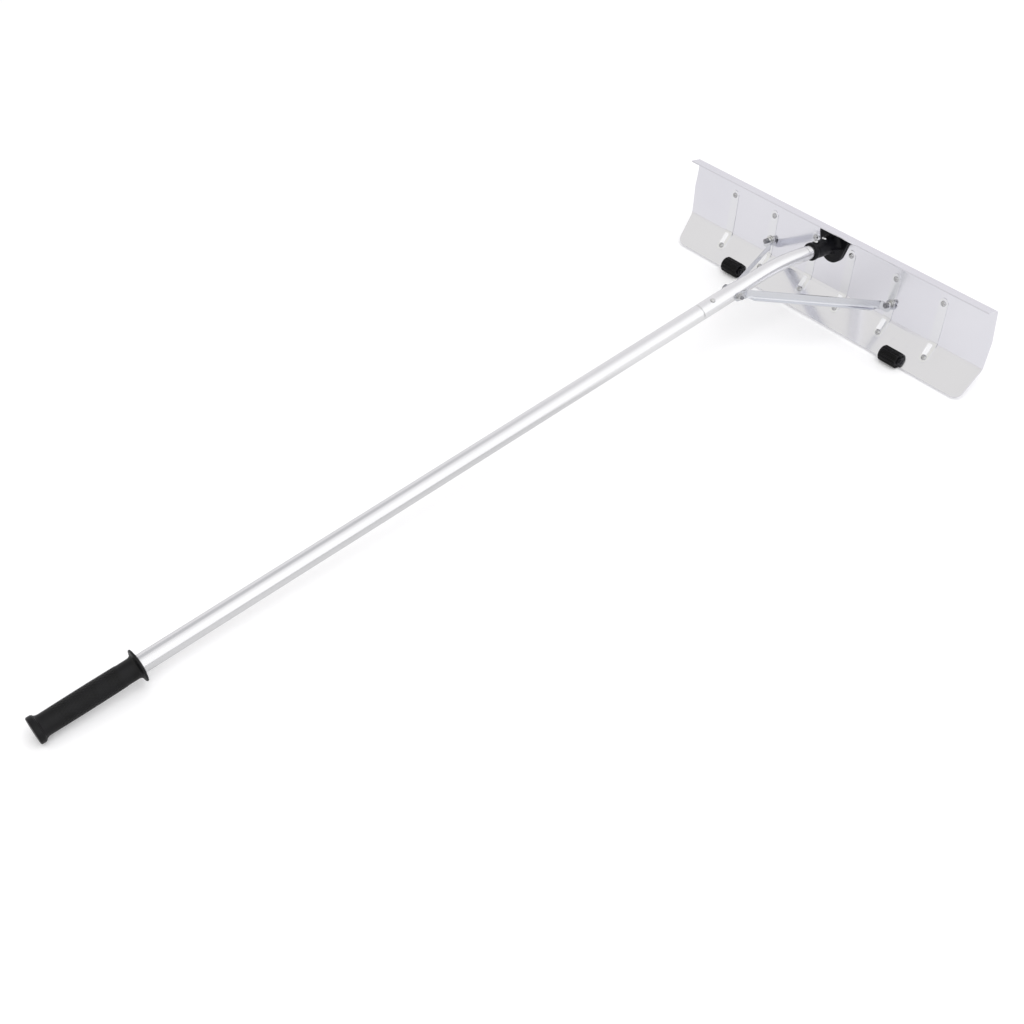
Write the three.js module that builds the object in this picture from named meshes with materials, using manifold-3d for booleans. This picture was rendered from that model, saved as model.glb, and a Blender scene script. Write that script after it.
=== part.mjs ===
// Roof snow rake: an aluminium blade with a turned flange and a folded lip, two rollers that
// run on the roof, a curved top tube held in a moulded socket and braced to the blade, and one
// pole section with a rubber grip.
//
// Row frame, millimetres: +X along the blade, +Y from the grip to the blade, +Z up, origin on
// the floor under the middle of the rake's overall box. The rake rests on its rollers and on the
// end of the grip.
//
// Most pieces are drawn in the head frame: origin on the middle of the blade's top bend,
// +Y through the panel away from the grip, +Z up the panel.
import * as THREE from 'three';
import { mergeVertices } from 'three/addons/utils/BufferGeometryUtils.js';
import Module from 'manifold-3d';

const wasm = await Module();
wasm.setup();

const RAD = Math.PI / 180;
const GAP = 0.3; // clearance between pieces that are bolted or riveted together

// Blade
const LEAN = 8 * RAD; // panel leans back from the vertical
const SHEET = 2;
const PANEL_H = 98.6; // top bend to fold
const PANEL_SAG = 1; // hollow of the panel, seen from the grip
const LIP_Y = 33; // the lip comes this far towards the grip
const LIP_Z = 43.6; // and this far down
const FLANGE_W = 20.5;
const FLANGE_RISE = 1.8;
const HALF_TOP = 305.5;
const HALF_MID = 309.5;
const HALF_FOLD = 307;
const HALF_LIP = 302.5;
const LIP_CORNER = 13;

// Straps that stiffen the fold
const STRAP_X = [-216.6, -126.8, -37.3, 37.3, 126.8, 216.6];
const STRAP_W = 15.5;
const STRAP_T = 0.9;
const STRAP_GAP = 0.1; // between a strap, the sheet and its rivets
const STRAP_TOP = -21.5;
const STRAP_LIP_END = 31.5;
const STRAP_BRIDGE = 14; // the strap leaves the sheet this far from the fold on both sides
const TOP_RIVET_Z = -30.2;
const LIP_RIVET_S = 23.8;

// Pole and curved tube
const TUBE_R = 12.7;
const TUBE_WALL = 1.5;
const POLE_SLOPE = 5.24 * RAD; // above the floor
const POLE_ANGLE = LEAN + POLE_SLOPE; // against the blade's normal
const POLE_Y = -191; // a point on the pole's axis, in the head frame
const POLE_Z = -40.4;
const SOCKET_Z = -25.3;
const BEND_R = 334;
const BEND_TUBE_R = 11.3; // the curved tube is drawn down towards the socket
const DRAW_S = 38; // where that taper starts
const JOINT_S = 97.5; // along the pole's axis from that point to the joint
const PLUG_S = 43.5; // end of the pole's reduced plug inside the curved tube
const PIVOT_S = 30;
const BUTTON_S = 73.4;
const BUTTON_R = 3.3;
const BUTTON_TURN = 20 * RAD;
const POLE_END_S = 1187;
const NECK_R = 10.8; // end of the curved tube inside the socket
const NECK_Y = -66.5;
const TUBE_TIP_Y = -9;

// Socket bracket
const SOCKET_R = 13.2;
const SOCKET_MOUTH_Y = -54.5;
const PLATE_T = 4.4;
const SOCKET_SCREW_Y = [-46, -26];
const PLATE_SCREWS = [[-21, -11.5], [21, -11.5], [0, -47.5]];

// Braces
const BRACE_H = 14;
const BRACE_T = 1.4;
const BRACE_FLANGE = 6.5; // along the lower edge, on the outer side
const BRACE_DROP = 1.5; // the strip's middle lies below its bolt holes
const BRACE_X = 126.8;
const BRACE_BLADE_Z = -72.6;
const BRACE_BLADE_Y = -7.4; // middle of the far tab
const BRACE_HOLE_R = 2.8;
const NEAR_TAB = 18; // from the pivot to the bend beside the tube
const FAR_TAB = 14; // from the blade bolt to the other bend
const WASHER_R = 6.8;
const PIVOT_R = 2.5;

// Rollers
const ROLLER_X = 170.4;
const ROLLER_Y = -30.8;
const ROLLER_Z = -133.9;
const ROLLER_R = 12.7;
const ROLLER_HALF = 16.4;
const ROLLER_RIBS = 12;
const GROOVE_R = ROLLER_R - 1.5;
const AXLE_R = 2.5;
const EAR_T = 1.5;
const EAR_OUT = 18.2; // outer face of a bracket ear from the middle of its roller
const SLOT_HALF = 18.8;
const AXLE_HEAD_R = 2.9;

// Grip, measured along the pole's axis
const GRIP_S = 1044;
const GRIP_END_S = 1192;
const GRIP_FLANGE_R = 22.9;
const GRIP_REAR_R = 19;

// Materials
const finish = (color, roughness, metalness) => () => (
  new THREE.MeshStandardMaterial({ color, roughness, metalness })
);
const satinAluminium = finish(0xdcdce2, 0.28, 0.9);
const tubeAluminium = finish(0xe2e2e4, 0.34, 0.9);
const braceAluminium = finish(0xd2d3d8, 0.38, 0.9);
const zincSteel = finish(0xc9cacc, 0.32, 1);
const darkSteel = finish(0x77797d, 0.4, 0.9);
const blackPlastic = finish(0x1b1b1d, 0.45, 0);
const blackRubber = finish(0x1d1d1e, 0.75, 0);

// ---------------------------------------------------------------- solid geometry helpers

function volumeOf(positions, index) {
  const a = new THREE.Vector3();
  const b = new THREE.Vector3();
  const c = new THREE.Vector3();
  let sum = 0;
  for (let i = 0; i < index.count; i += 3) {
    a.fromBufferAttribute(positions, index.getX(i));
    b.fromBufferAttribute(positions, index.getX(i + 1));
    c.fromBufferAttribute(positions, index.getX(i + 2));
    sum += a.dot(b.cross(c));
  }
  return sum / 6;
}

// Turns a three.js geometry into a closed solid whose faces point outwards.
function toSolid(geometry) {
  const bare = geometry.clone();
  bare.deleteAttribute('normal');
  bare.deleteAttribute('uv');
  const merged = mergeVertices(bare, 1e-4);
  const flip = volumeOf(merged.attributes.position, merged.index) < 0;
  const tri = [];
  for (let i = 0; i < merged.index.count; i += 3) {
    const [a, b, c] = [0, 1, 2].map((k) => merged.index.getX(i + k));
    if (a !== b && b !== c && c !== a) tri.push(...(flip ? [a, c, b] : [a, b, c]));
  }
  return new wasm.Manifold(new wasm.Mesh({
    numProp: 3,
    vertProperties: new Float32Array(merged.attributes.position.array),
    triVerts: new Uint32Array(tri),
  }));
}

function toGeometry(solid) {
  const mesh = solid.getMesh();
  const geometry = new THREE.BufferGeometry();
  geometry.setAttribute('position', new THREE.Float32BufferAttribute(mesh.vertProperties, 3));
  geometry.setIndex(Array.from(mesh.triVerts));
  return geometry;
}

// first + joined pieces - cut pieces
function combine(first, joined = [], cuts = []) {
  let solid = toSolid(first);
  for (const piece of joined) solid = solid.add(toSolid(piece));
  for (const piece of cuts) solid = solid.subtract(toSolid(piece));
  return toGeometry(solid);
}

function common(a, b) {
  return toGeometry(toSolid(a).intersect(toSolid(b)));
}

function mesh(name, geometry, material, parent) {
  const flat = geometry.index ? geometry.toNonIndexed() : geometry;
  flat.computeVertexNormals();
  const node = new THREE.Mesh(flat, material);
  node.name = name;
  parent.add(node);
  return node;
}

// Moves a shape drawn with +Y as its axis so that +Y points along dir and the origin is at pos.
function aim(geometry, pos, dir) {
  const turn = new THREE.Quaternion().setFromUnitVectors(new THREE.Vector3(0, 1, 0), dir.clone().normalize());
  return geometry.applyQuaternion(turn).translate(pos.x, pos.y, pos.z);
}

function rod(radius, from, to, sides = 16) {
  const axis = to.clone().sub(from);
  const length = axis.length();
  const shape = new THREE.CylinderGeometry(radius, radius, length, sides);
  return aim(shape.translate(0, length / 2, 0), from, axis);
}

// Solid of revolution about +Y from [radius, height] pairs that start and end on the axis
// or close on themselves.
function turned(profile, sides = 20) {
  return new THREE.LatheGeometry(profile.map(([r, y]) => new THREE.Vector2(r, y)), sides);
}

function ring(inner, outer, low, high, sides = 24) {
  return turned([[inner, low], [outer, low], [outer, high], [inner, high], [inner, low]], sides);
}

function hexNut(acrossFlats, bore, height) {
  const body = new THREE.CylinderGeometry(acrossFlats / 1.732, acrossFlats / 1.732, height, 6)
    .translate(0, height / 2, 0);
  const hole = new THREE.CylinderGeometry(bore, bore, height * 3, 16);
  return combine(body, [], [hole]);
}

const vec = (x, y, z) => new THREE.Vector3(x, y, z);
const X_AXIS = vec(1, 0, 0);
const TO_GRIP = vec(0, -1, 0);
const TO_BACK = vec(0, 1, 0);

// ---------------------------------------------------------------- places on the blade

const LIP_LEN = Math.hypot(LIP_Y, LIP_Z);
const LIP_DIR = vec(0, -LIP_Y / LIP_LEN, -LIP_Z / LIP_LEN);
const LIP_NORMAL = vec(0, -LIP_Z / LIP_LEN, LIP_Y / LIP_LEN);

// Face of the panel that looks at the grip.
function panelY(z) {
  const t = -z / PANEL_H;
  return PANEL_SAG * 4 * t * (1 - t);
}

function onPanel(x, z, out) {
  return vec(x, panelY(z) - out, z);
}

// s runs down the lip from the fold, out is the distance off its upper face.
function onLip(x, s, out) {
  return vec(x, 0, -PANEL_H).addScaledVector(LIP_DIR, s).addScaledVector(LIP_NORMAL, out);
}

// Rounds the corner at b of the path a-b-c.
function roundCorner(a, b, c, radius, steps = 4) {
  const back = a.clone().sub(b).normalize();
  const ahead = c.clone().sub(b).normalize();
  const half = Math.acos(THREE.MathUtils.clamp(back.dot(ahead), -1, 1)) / 2;
  const reach = radius / Math.tan(half);
  const centre = b.clone().addScaledVector(back.clone().add(ahead).normalize(), radius / Math.sin(half));
  const from = b.clone().addScaledVector(back, reach).sub(centre);
  const to = b.clone().addScaledVector(ahead, reach).sub(centre);
  const sweep = Math.PI - 2 * half;
  const sign = Math.sign(from.x * to.y - from.y * to.x);
  const points = [];
  for (let i = 0; i <= steps; i++) {
    points.push(from.clone().rotateAround(new THREE.Vector2(), (sign * sweep * i) / steps).add(centre));
  }
  return points;
}

// Outline of a sheet of constant thickness that follows a path; side is +1 or -1.
function sheetShape(path, thickness, side) {
  const offset = path.map((p, i) => {
    const before = path[Math.max(i - 1, 0)];
    const after = path[Math.min(i + 1, path.length - 1)];
    const d1 = (i > 0 ? p.clone().sub(before) : after.clone().sub(p)).normalize();
    const d2 = (i < path.length - 1 ? after.clone().sub(p) : p.clone().sub(before)).normalize();
    const n1 = new THREE.Vector2(-d1.y, d1.x);
    const n = n1.clone().add(new THREE.Vector2(-d2.y, d2.x)).normalize();
    return p.clone().addScaledVector(n, (side * thickness) / n.dot(n1));
  });
  return new THREE.Shape([...path, ...offset.reverse()]);
}

// Extrudes a (y, z) section along x.
function alongX(shape, fromX, toX) {
  const geometry = new THREE.ExtrudeGeometry(shape, { depth: toX - fromX, bevelEnabled: false });
  const basis = new THREE.Matrix4().makeBasis(vec(0, 1, 0), vec(0, 0, 1), vec(1, 0, 0));
  return geometry.applyMatrix4(basis).translate(fromX, 0, 0);
}

// Extrudes an (x, z) outline through y.
function throughY(shape, fromY, toY) {
  const options = { depth: toY - fromY, bevelEnabled: false, curveSegments: 8 };
  const geometry = new THREE.ExtrudeGeometry(shape, options);
  return geometry.rotateX(Math.PI / 2).translate(0, toY, 0);
}

const v2 = (x, y) => new THREE.Vector2(x, y);
const flat = (p) => v2(p.y, p.z);

function panelPath(fromZ, toZ, out, steps) {
  const points = [];
  for (let i = 0; i <= steps; i++) {
    points.push(flat(onPanel(0, fromZ + ((toZ - fromZ) * i) / steps, out)));
  }
  return points;
}

// ---------------------------------------------------------------- blade

function bladeSection() {
  const edge = v2(-FLANGE_W, FLANGE_RISE - SHEET);
  const top = v2(0, -SHEET);
  const fold = v2(0, -PANEL_H);
  const lipEnd = flat(onLip(0, LIP_LEN, 0));
  const panel = panelPath(-10, -PANEL_H + 8, 0, 6);
  const path = [
    edge,
    ...roundCorner(edge, top, panel[0], 2.5),
    ...panel,
    ...roundCorner(panel[panel.length - 1], fold, lipEnd, 5),
    lipEnd,
  ];
  return sheetShape(path, SHEET, 1);
}

function bladeOutline() {
  const low = -PANEL_H - LIP_Z - 2;
  const shape = new THREE.Shape();
  shape.moveTo(-HALF_TOP, 8);
  shape.lineTo(HALF_TOP, 8);
  shape.lineTo(HALF_TOP, 0);
  shape.splineThru([v2(HALF_MID, -50), v2(HALF_FOLD, -PANEL_H), v2(HALF_LIP, low + LIP_CORNER + 2)]);
  shape.quadraticCurveTo(HALF_LIP - 2, low + 2, HALF_LIP - LIP_CORNER, low + 1.4);
  shape.lineTo(HALF_LIP - LIP_CORNER - 4, low);
  shape.lineTo(-HALF_LIP + LIP_CORNER + 4, low);
  shape.lineTo(-HALF_LIP + LIP_CORNER, low + 1.4);
  shape.quadraticCurveTo(-HALF_LIP + 2, low + 2, -HALF_LIP, low + LIP_CORNER + 2);
  shape.splineThru([v2(-HALF_FOLD, -PANEL_H), v2(-HALF_MID, -50), v2(-HALF_TOP, 0)]);
  return shape;
}

const LIP_HOLES = [-ROLLER_X, ROLLER_X].flatMap((x) => [x - 14, x + 14]);

function bladeHoles() {
  const holes = [];
  for (const x of STRAP_X) {
    holes.push(rod(2.2, onPanel(x, TOP_RIVET_Z, 8), onPanel(x, TOP_RIVET_Z, -8), 12));
    holes.push(rod(2.2, onLip(x, LIP_RIVET_S, 8), onLip(x, LIP_RIVET_S, -8), 12));
  }
  for (const x of [-BRACE_X, BRACE_X]) {
    holes.push(rod(2.8, onPanel(x, BRACE_BLADE_Z, 8), onPanel(x, BRACE_BLADE_Z, -8), 12));
  }
  for (const [x, z] of PLATE_SCREWS) holes.push(rod(2.2, onPanel(x, z, 8), onPanel(x, z, -8), 12));
  for (const x of LIP_HOLES) holes.push(rod(1.8, onLip(x, LIP_RIVET_S, 8), onLip(x, LIP_RIVET_S, -8), 12));
  return holes;
}

// Notch in the lip for a roller and the ears of its bracket.
function rollerNotch(x) {
  const notch = new THREE.BoxGeometry(2 * SLOT_HALF, 40, 40).translate(0, 20, 0);
  return aim(notch, onLip(x, rollerS() - Math.sqrt(ROLLER_R ** 2 - rollerOut() ** 2) - 0.8, 0), LIP_DIR);
}

function rollerS() {
  return vec(0, ROLLER_Y, ROLLER_Z + PANEL_H).dot(LIP_DIR);
}

function rollerOut() {
  return vec(0, ROLLER_Y, ROLLER_Z + PANEL_H).dot(LIP_NORMAL);
}

function bladeGeometry() {
  const sheet = alongX(bladeSection(), -HALF_MID - 5, HALF_MID + 5);
  const trimmed = common(sheet, throughY(bladeOutline(), -60, 20));
  return combine(trimmed, [], [...bladeHoles(), rollerNotch(-ROLLER_X), rollerNotch(ROLLER_X)]);
}

// ---------------------------------------------------------------- straps and rivets

function strapOutline(x) {
  const r = STRAP_W / 2;
  const low = onLip(0, STRAP_LIP_END, 0).z;
  const shape = new THREE.Shape();
  shape.absarc(x, STRAP_TOP - r, r, 0, Math.PI, false);
  shape.absarc(x, low + r, r, Math.PI, 2 * Math.PI, false);
  return shape;
}

function strapGeometry(x) {
  const path = [
    ...panelPath(STRAP_TOP + 2, -PANEL_H + STRAP_BRIDGE, STRAP_GAP, 3),
    flat(onLip(0, STRAP_BRIDGE, STRAP_GAP)),
    flat(onLip(0, STRAP_LIP_END + 6, STRAP_GAP)),
  ];
  const bar = alongX(sheetShape(path, STRAP_T, -1), x - STRAP_W, x + STRAP_W);
  const trimmed = common(bar, throughY(strapOutline(x), -40, 10));
  const holes = [
    rod(2.2, onPanel(x, TOP_RIVET_Z, 8), onPanel(x, TOP_RIVET_Z, -8), 12),
    rod(2.2, onLip(x, LIP_RIVET_S, 8), onLip(x, LIP_RIVET_S, -8), 12),
  ];
  if (Math.abs(x) === BRACE_X) {
    holes.push(rod(2.8, onPanel(x, BRACE_BLADE_Z, 8), onPanel(x, BRACE_BLADE_Z, -8), 12));
  }
  return combine(trimmed, [], holes);
}

// Dome head at +Y, shank down, set head at -stack.
function rivetGeometry(headR, headH, shankR, stack) {
  return turned([
    [0, -stack - 1.5], [shankR + 0.9, -stack - 1.5], [shankR + 1.2, -stack - 1], [shankR + 1.2, -stack],
    [shankR, -stack], [shankR, 0], [headR, 0], [headR * 0.94, headH * 0.45], [headR * 0.62, headH * 0.88],
    [0, headH],
  ], 12);
}

function strapRivets(parent) {
  const out = STRAP_T + 3 * STRAP_GAP;
  const stack = out + SHEET + GAP;
  STRAP_X.forEach((x, i) => {
    const top = aim(rivetGeometry(4.4, 2.3, 1.9, stack), onPanel(x, TOP_RIVET_Z, out), TO_GRIP);
    const low = aim(rivetGeometry(4.4, 2.3, 1.9, stack), onLip(x, LIP_RIVET_S, out), LIP_NORMAL);
    mesh(`panel_rivet_${i + 1}`, top, zincSteel(), parent);
    mesh(`lip_rivet_${i + 1}`, low, zincSteel(), parent);
  });
}

// ---------------------------------------------------------------- socket bracket

function plateOutline() {
  const shape = new THREE.Shape();
  shape.moveTo(-28.5, -3.2);
  shape.lineTo(28.5, -3.2);
  shape.lineTo(28.5, -14);
  shape.absarc(0, -33.9, 21.6, -0.38, -Math.PI + 0.38, true);
  shape.lineTo(-28.5, -14);
  return shape;
}

function socketPlate() {
  const bar = alongX(sheetShape(panelPath(-1, -60, GAP, 4), PLATE_T, -1), -35, 35);
  return common(bar, throughY(plateOutline(), -20, 10));
}

function socketBracketGeometry() {
  const at = (y, up = 0) => vec(0, y, SOCKET_Z + up);
  const barrel = rod(SOCKET_R, at(SOCKET_MOUTH_Y + 3), at(-1.5), 32);
  const mouth = rod(SOCKET_R + 0.7, at(SOCKET_MOUTH_Y), at(SOCKET_MOUTH_Y + 4.5), 32);
  const skirt = aim(turned([[0, 0], [SOCKET_R + 2.8, 0], [SOCKET_R - 0.5, 7], [0, 7]], 32), at(-3), TO_GRIP);
  const bosses = SOCKET_SCREW_Y.map((y) => rod(4.8, at(y, 8), at(y, SOCKET_R + 1.6), 16));
  const spine = new THREE.BoxGeometry(5, 30, 6).translate(0, -31, SOCKET_Z + SOCKET_R - 2);
  const cuts = [
    rod(NECK_R + GAP, at(-70), at(-5.6), 32),
    ...SOCKET_SCREW_Y.map((y) => rod(1.9, at(y, 5), at(y, 30), 12)),
    ...PLATE_SCREWS.map(([x, z]) => rod(1.8, onPanel(x, z, 3.6), onPanel(x, z, -8), 12)),
  ];
  return combine(socketPlate(), [barrel, mouth, skirt, spine, ...bosses], cuts);
}

// Pan head at +Y, shank towards -Y.
function screwGeometry(headR, headH, shankR, length) {
  return turned([
    [0, -length], [shankR * 0.5, -length], [shankR, -length + 1.2], [shankR, 0], [headR, 0],
    [headR, headH * 0.5], [headR * 0.7, headH], [0, headH],
  ], 14);
}

function socketScrews(parent) {
  SOCKET_SCREW_Y.forEach((y, i) => {
    const pos = vec(0, y, SOCKET_Z + SOCKET_R + 1.6 + GAP);
    const screw = aim(screwGeometry(3.9, 2.4, 1.6, 8.6), pos, vec(0, 0, 1));
    mesh(`socket_screw_${i + 1}`, screw, zincSteel(), parent);
  });
  PLATE_SCREWS.forEach(([x, z], i) => {
    const pos = onPanel(x, z, -SHEET - GAP);
    mesh(`plate_screw_${i + 1}`, aim(screwGeometry(4, 2.2, 1.5, 5.4), pos, TO_BACK), zincSteel(), parent);
  });
}

// ---------------------------------------------------------------- curved tube, pole, grip

const POLE_DIR = vec(0, -Math.cos(POLE_ANGLE), -Math.sin(POLE_ANGLE)); // towards the grip
const POLE_UP = vec(0, -Math.sin(POLE_ANGLE), Math.cos(POLE_ANGLE));
const BUTTON_DIR = POLE_UP.clone().multiplyScalar(Math.cos(BUTTON_TURN))
  .addScaledVector(X_AXIS, Math.sin(BUTTON_TURN));
const onPole = (s) => vec(0, POLE_Y, POLE_Z).addScaledVector(POLE_DIR, s);

// Centres and radii of the curved tube from the joint to the tip inside the socket.
function curvedTubeStations() {
  const cornerY = POLE_Y + (SOCKET_Z - POLE_Z) / Math.tan(POLE_ANGLE);
  const reach = BEND_R * Math.tan(POLE_ANGLE / 2);
  const stations = [JOINT_S, DRAW_S].map((s) => ({ at: onPole(s), angle: POLE_ANGLE, outer: TUBE_R }));
  const steps = 7;
  for (let i = 0; i <= steps; i++) {
    const angle = POLE_ANGLE * (1 - i / steps);
    const y = cornerY + reach - BEND_R * Math.sin(angle);
    const z = SOCKET_Z - BEND_R * (1 - Math.cos(angle));
    stations.push({ at: vec(0, y, z), angle, outer: BEND_TUBE_R });
  }
  for (const [y, outer] of [[NECK_Y - 0.8, BEND_TUBE_R], [NECK_Y, NECK_R], [TUBE_TIP_Y, NECK_R]]) {
    stations.push({ at: vec(0, y, SOCKET_Z), angle: 0, outer });
  }
  return stations;
}

// A tube of constant wall swept through stations in the plane x = 0.
function sweptTube(stations, wall, sides) {
  const positions = [];
  for (const { at, angle, outer } of stations) {
    for (const radius of [outer, outer - wall]) {
      for (let k = 0; k < sides; k++) {
        const a = (2 * Math.PI * k) / sides;
        const up = radius * Math.cos(a);
        positions.push(radius * Math.sin(a), at.y - up * Math.sin(angle), at.z + up * Math.cos(angle));
      }
    }
  }
  const index = [];
  const quad = (a, b, c, d) => index.push(a, b, c, a, c, d);
  const id = (station, layer, k) => (station * 2 + layer) * sides + (k % sides);
  const last = stations.length - 1;
  for (let k = 0; k < sides; k++) {
    for (let i = 0; i < last; i++) {
      quad(id(i, 0, k), id(i, 0, k + 1), id(i + 1, 0, k + 1), id(i + 1, 0, k));
      quad(id(i, 1, k + 1), id(i, 1, k), id(i + 1, 1, k), id(i + 1, 1, k + 1));
    }
    quad(id(0, 0, k + 1), id(0, 0, k), id(0, 1, k), id(0, 1, k + 1));
    quad(id(last, 0, k), id(last, 0, k + 1), id(last, 1, k + 1), id(last, 1, k));
  }
  const geometry = new THREE.BufferGeometry();
  geometry.setAttribute('position', new THREE.Float32BufferAttribute(positions, 3));
  geometry.setIndex(index);
  return geometry;
}

function buttonHole(radius) {
  return rod(radius, onPole(BUTTON_S), onPole(BUTTON_S).addScaledVector(BUTTON_DIR, 30), 20);
}

function curvedTubeGeometry() {
  const pivot = onPole(PIVOT_S);
  return combine(sweptTube(curvedTubeStations(), TUBE_WALL, 28), [], [
    rod(PIVOT_R + 0.3, pivot.clone().setX(-30), pivot.clone().setX(30), 16),
    buttonHole(BUTTON_R + 0.6),
    ...SOCKET_SCREW_Y.map((y) => rod(2, vec(0, y, SOCKET_Z), vec(0, y, SOCKET_Z + 30), 12)),
  ]);
}

// Pole section: a plug that fits in the curved tube, then the full tube up to the grip's end.
function poleGeometry() {
  const plugR = TUBE_R - TUBE_WALL - GAP;
  const start = JOINT_S + GAP;
  const tube = turned([
    [plugR - 1.3, PLUG_S], [plugR - 0.5, PLUG_S], [plugR, PLUG_S + 2], [plugR, start], [TUBE_R - 0.4, start],
    [TUBE_R, start + 0.4], [TUBE_R, POLE_END_S], [TUBE_R - TUBE_WALL, POLE_END_S],
    [TUBE_R - TUBE_WALL, start + 6], [plugR - 1.3, start + 2], [plugR - 1.3, PLUG_S],
  ], 28);
  return combine(aim(tube, onPole(0), POLE_DIR), [], [buttonHole(BUTTON_R + 0.2)]);
}

function buttonGeometry() {
  const shape = turned([
    [0, 7], [BUTTON_R + 0.8, 7], [BUTTON_R + 0.8, 7.8], [BUTTON_R, 7.8], [BUTTON_R, 12.9],
    [BUTTON_R - 0.7, 13.9], [BUTTON_R - 1.9, 14.3], [0, 14.4],
  ], 20);
  return aim(shape, onPole(BUTTON_S), BUTTON_DIR);
}

// V-shaped leaf spring under the button; drawn as (along the pole, radial) and given its width.
function buttonSpringGeometry() {
  const path = [v2(-6, 6.5), v2(3, 6.5), v2(30, 2.2), v2(33, 0.8), v2(33, -1), v2(30, -2.4), v2(-4, -8)];
  const leaf = new THREE.ExtrudeGeometry(sheetShape(path, 0.6, -1), { depth: 6, bevelEnabled: false });
  const side = new THREE.Vector3().crossVectors(POLE_DIR, BUTTON_DIR);
  const basis = new THREE.Matrix4().makeBasis(POLE_DIR, BUTTON_DIR, side);
  const at = onPole(BUTTON_S).addScaledVector(side, -3);
  return leaf.applyMatrix4(basis).translate(at.x, at.y, at.z);
}

function gripGeometry() {
  const inner = TUBE_R + GAP;
  const rim = GRIP_FLANGE_R;
  const profile = [
    [inner, GRIP_S], [15.4, GRIP_S], [17, GRIP_S + 1], [rim - 1.2, GRIP_S + 1.6], [rim, GRIP_S + 3],
    [rim, GRIP_S + 4.6], [rim - 1.2, GRIP_S + 6], [16.4, GRIP_S + 7.4], [14.7, GRIP_S + 9.5],
    [14.4, GRIP_S + 24], [14.9, GRIP_S + 27], [15.3, GRIP_S + 75], [14.9, GRIP_S + 126],
    [14.7, GRIP_END_S - 14], [15.6, GRIP_END_S - 10.5], [GRIP_REAR_R - 0.9, GRIP_END_S - 8],
    [GRIP_REAR_R, GRIP_END_S - 6.5], [GRIP_REAR_R, GRIP_END_S - 2], [GRIP_REAR_R - 1.4, GRIP_END_S],
    [0, GRIP_END_S], [0, POLE_END_S + 1], [inner, POLE_END_S + 1], [inner, GRIP_S],
  ];
  return aim(turned(profile, 28), onPole(0), POLE_DIR);
}

// ---------------------------------------------------------------- braces

// Strip that stands on edge and follows a path of {x, y, z}; across and height are [low, high].
function bentStrip(path, across, height) {
  const sides = path.map((p, i) => {
    const a = path[Math.max(i - 1, 0)];
    const b = path[Math.min(i + 1, path.length - 1)];
    const d1 = (i > 0 ? v2(p.x - a.x, p.y - a.y) : v2(b.x - p.x, b.y - p.y)).normalize();
    const d2 = (i < path.length - 1 ? v2(b.x - p.x, b.y - p.y) : v2(p.x - a.x, p.y - a.y)).normalize();
    const n1 = v2(d1.y, -d1.x);
    const n = n1.clone().add(v2(d2.y, -d2.x)).normalize();
    return n.divideScalar(n.dot(n1));
  });
  const positions = path.flatMap((p, i) => [[0, 0], [1, 0], [1, 1], [0, 1]].flatMap(([a, h]) => [
    p.x + sides[i].x * across[a], p.y + sides[i].y * across[a], p.z + height[h],
  ]));
  const index = [0, 2, 1, 0, 3, 2];
  const end = (path.length - 1) * 4;
  index.push(end, end + 1, end + 2, end, end + 2, end + 3);
  for (let i = 0; i < path.length - 1; i++) {
    for (let k = 0; k < 4; k++) {
      const [a, b] = [i * 4 + k, i * 4 + ((k + 1) % 4)];
      index.push(a, b, b + 4, a, b + 4, a + 4);
    }
  }
  const geometry = new THREE.BufferGeometry();
  geometry.setAttribute('position', new THREE.Float32BufferAttribute(positions, 3));
  geometry.setIndex(index);
  return geometry;
}

// Right-hand brace: flat tab on the tube, angle section, flat tab against the blade.
function braceGeometry() {
  const pivot = onPole(PIVOT_S);
  const x0 = TUBE_R + GAP + BRACE_T / 2;
  const near = vec(x0, pivot.y, pivot.z - BRACE_DROP);
  const far = vec(BRACE_X, BRACE_BLADE_Y, BRACE_BLADE_Z - BRACE_DROP);
  const nearBend = near.clone().setY(near.y + NEAR_TAB);
  const farBend = far.clone().setX(far.x - FAR_TAB);
  const half = BRACE_H / 2;
  const web = bentStrip([near, nearBend, farBend, far], [-BRACE_T / 2, BRACE_T / 2], [-half, half]);
  const leg = [0.03, 0.95].map((t) => nearBend.clone().lerp(farBend, t));
  const flange = bentStrip(leg, [0, BRACE_T / 2 + BRACE_FLANGE], [-half, -half + BRACE_T]);
  const eye = (at, dir) => rod(half, at.clone().addScaledVector(dir, -BRACE_T / 2),
    at.clone().addScaledVector(dir, BRACE_T / 2), 24);
  const bladeBolt = (y) => vec(BRACE_X, BRACE_BLADE_Y + y, BRACE_BLADE_Z);
  return combine(web, [flange, eye(near, X_AXIS), eye(far, TO_BACK)], [
    rod(BRACE_HOLE_R, vec(0, pivot.y, pivot.z), vec(40, pivot.y, pivot.z), 16),
    rod(BRACE_HOLE_R, bladeBolt(-20), bladeBolt(20), 12),
  ]);
}

function bracePivot(parent) {
  const pivot = onPole(PIVOT_S);
  const at = (x) => vec(x, pivot.y, pivot.z);
  const tab = TUBE_R + GAP + BRACE_T + GAP;
  const length = 2 * tab + 8.2;
  const bolt = turned([
    [0, -length], [PIVOT_R - 0.6, -length], [PIVOT_R, -length + 0.8], [PIVOT_R, 0], [6.2, 0], [6.2, 1],
    [4.8, 2.2], [0, 2.8],
  ], 20);
  mesh('pivot_bolt', aim(bolt, at(-tab), vec(-1, 0, 0)), darkSteel(), parent);
  mesh('pivot_washer', aim(ring(PIVOT_R + 0.3, 5.8, 0, 1.1), at(tab), X_AXIS), zincSteel(), parent);
  mesh('pivot_nut', aim(hexNut(8, PIVOT_R + 0.2, 4), at(tab + 1.1 + GAP), X_AXIS), zincSteel(), parent);
}

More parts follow.
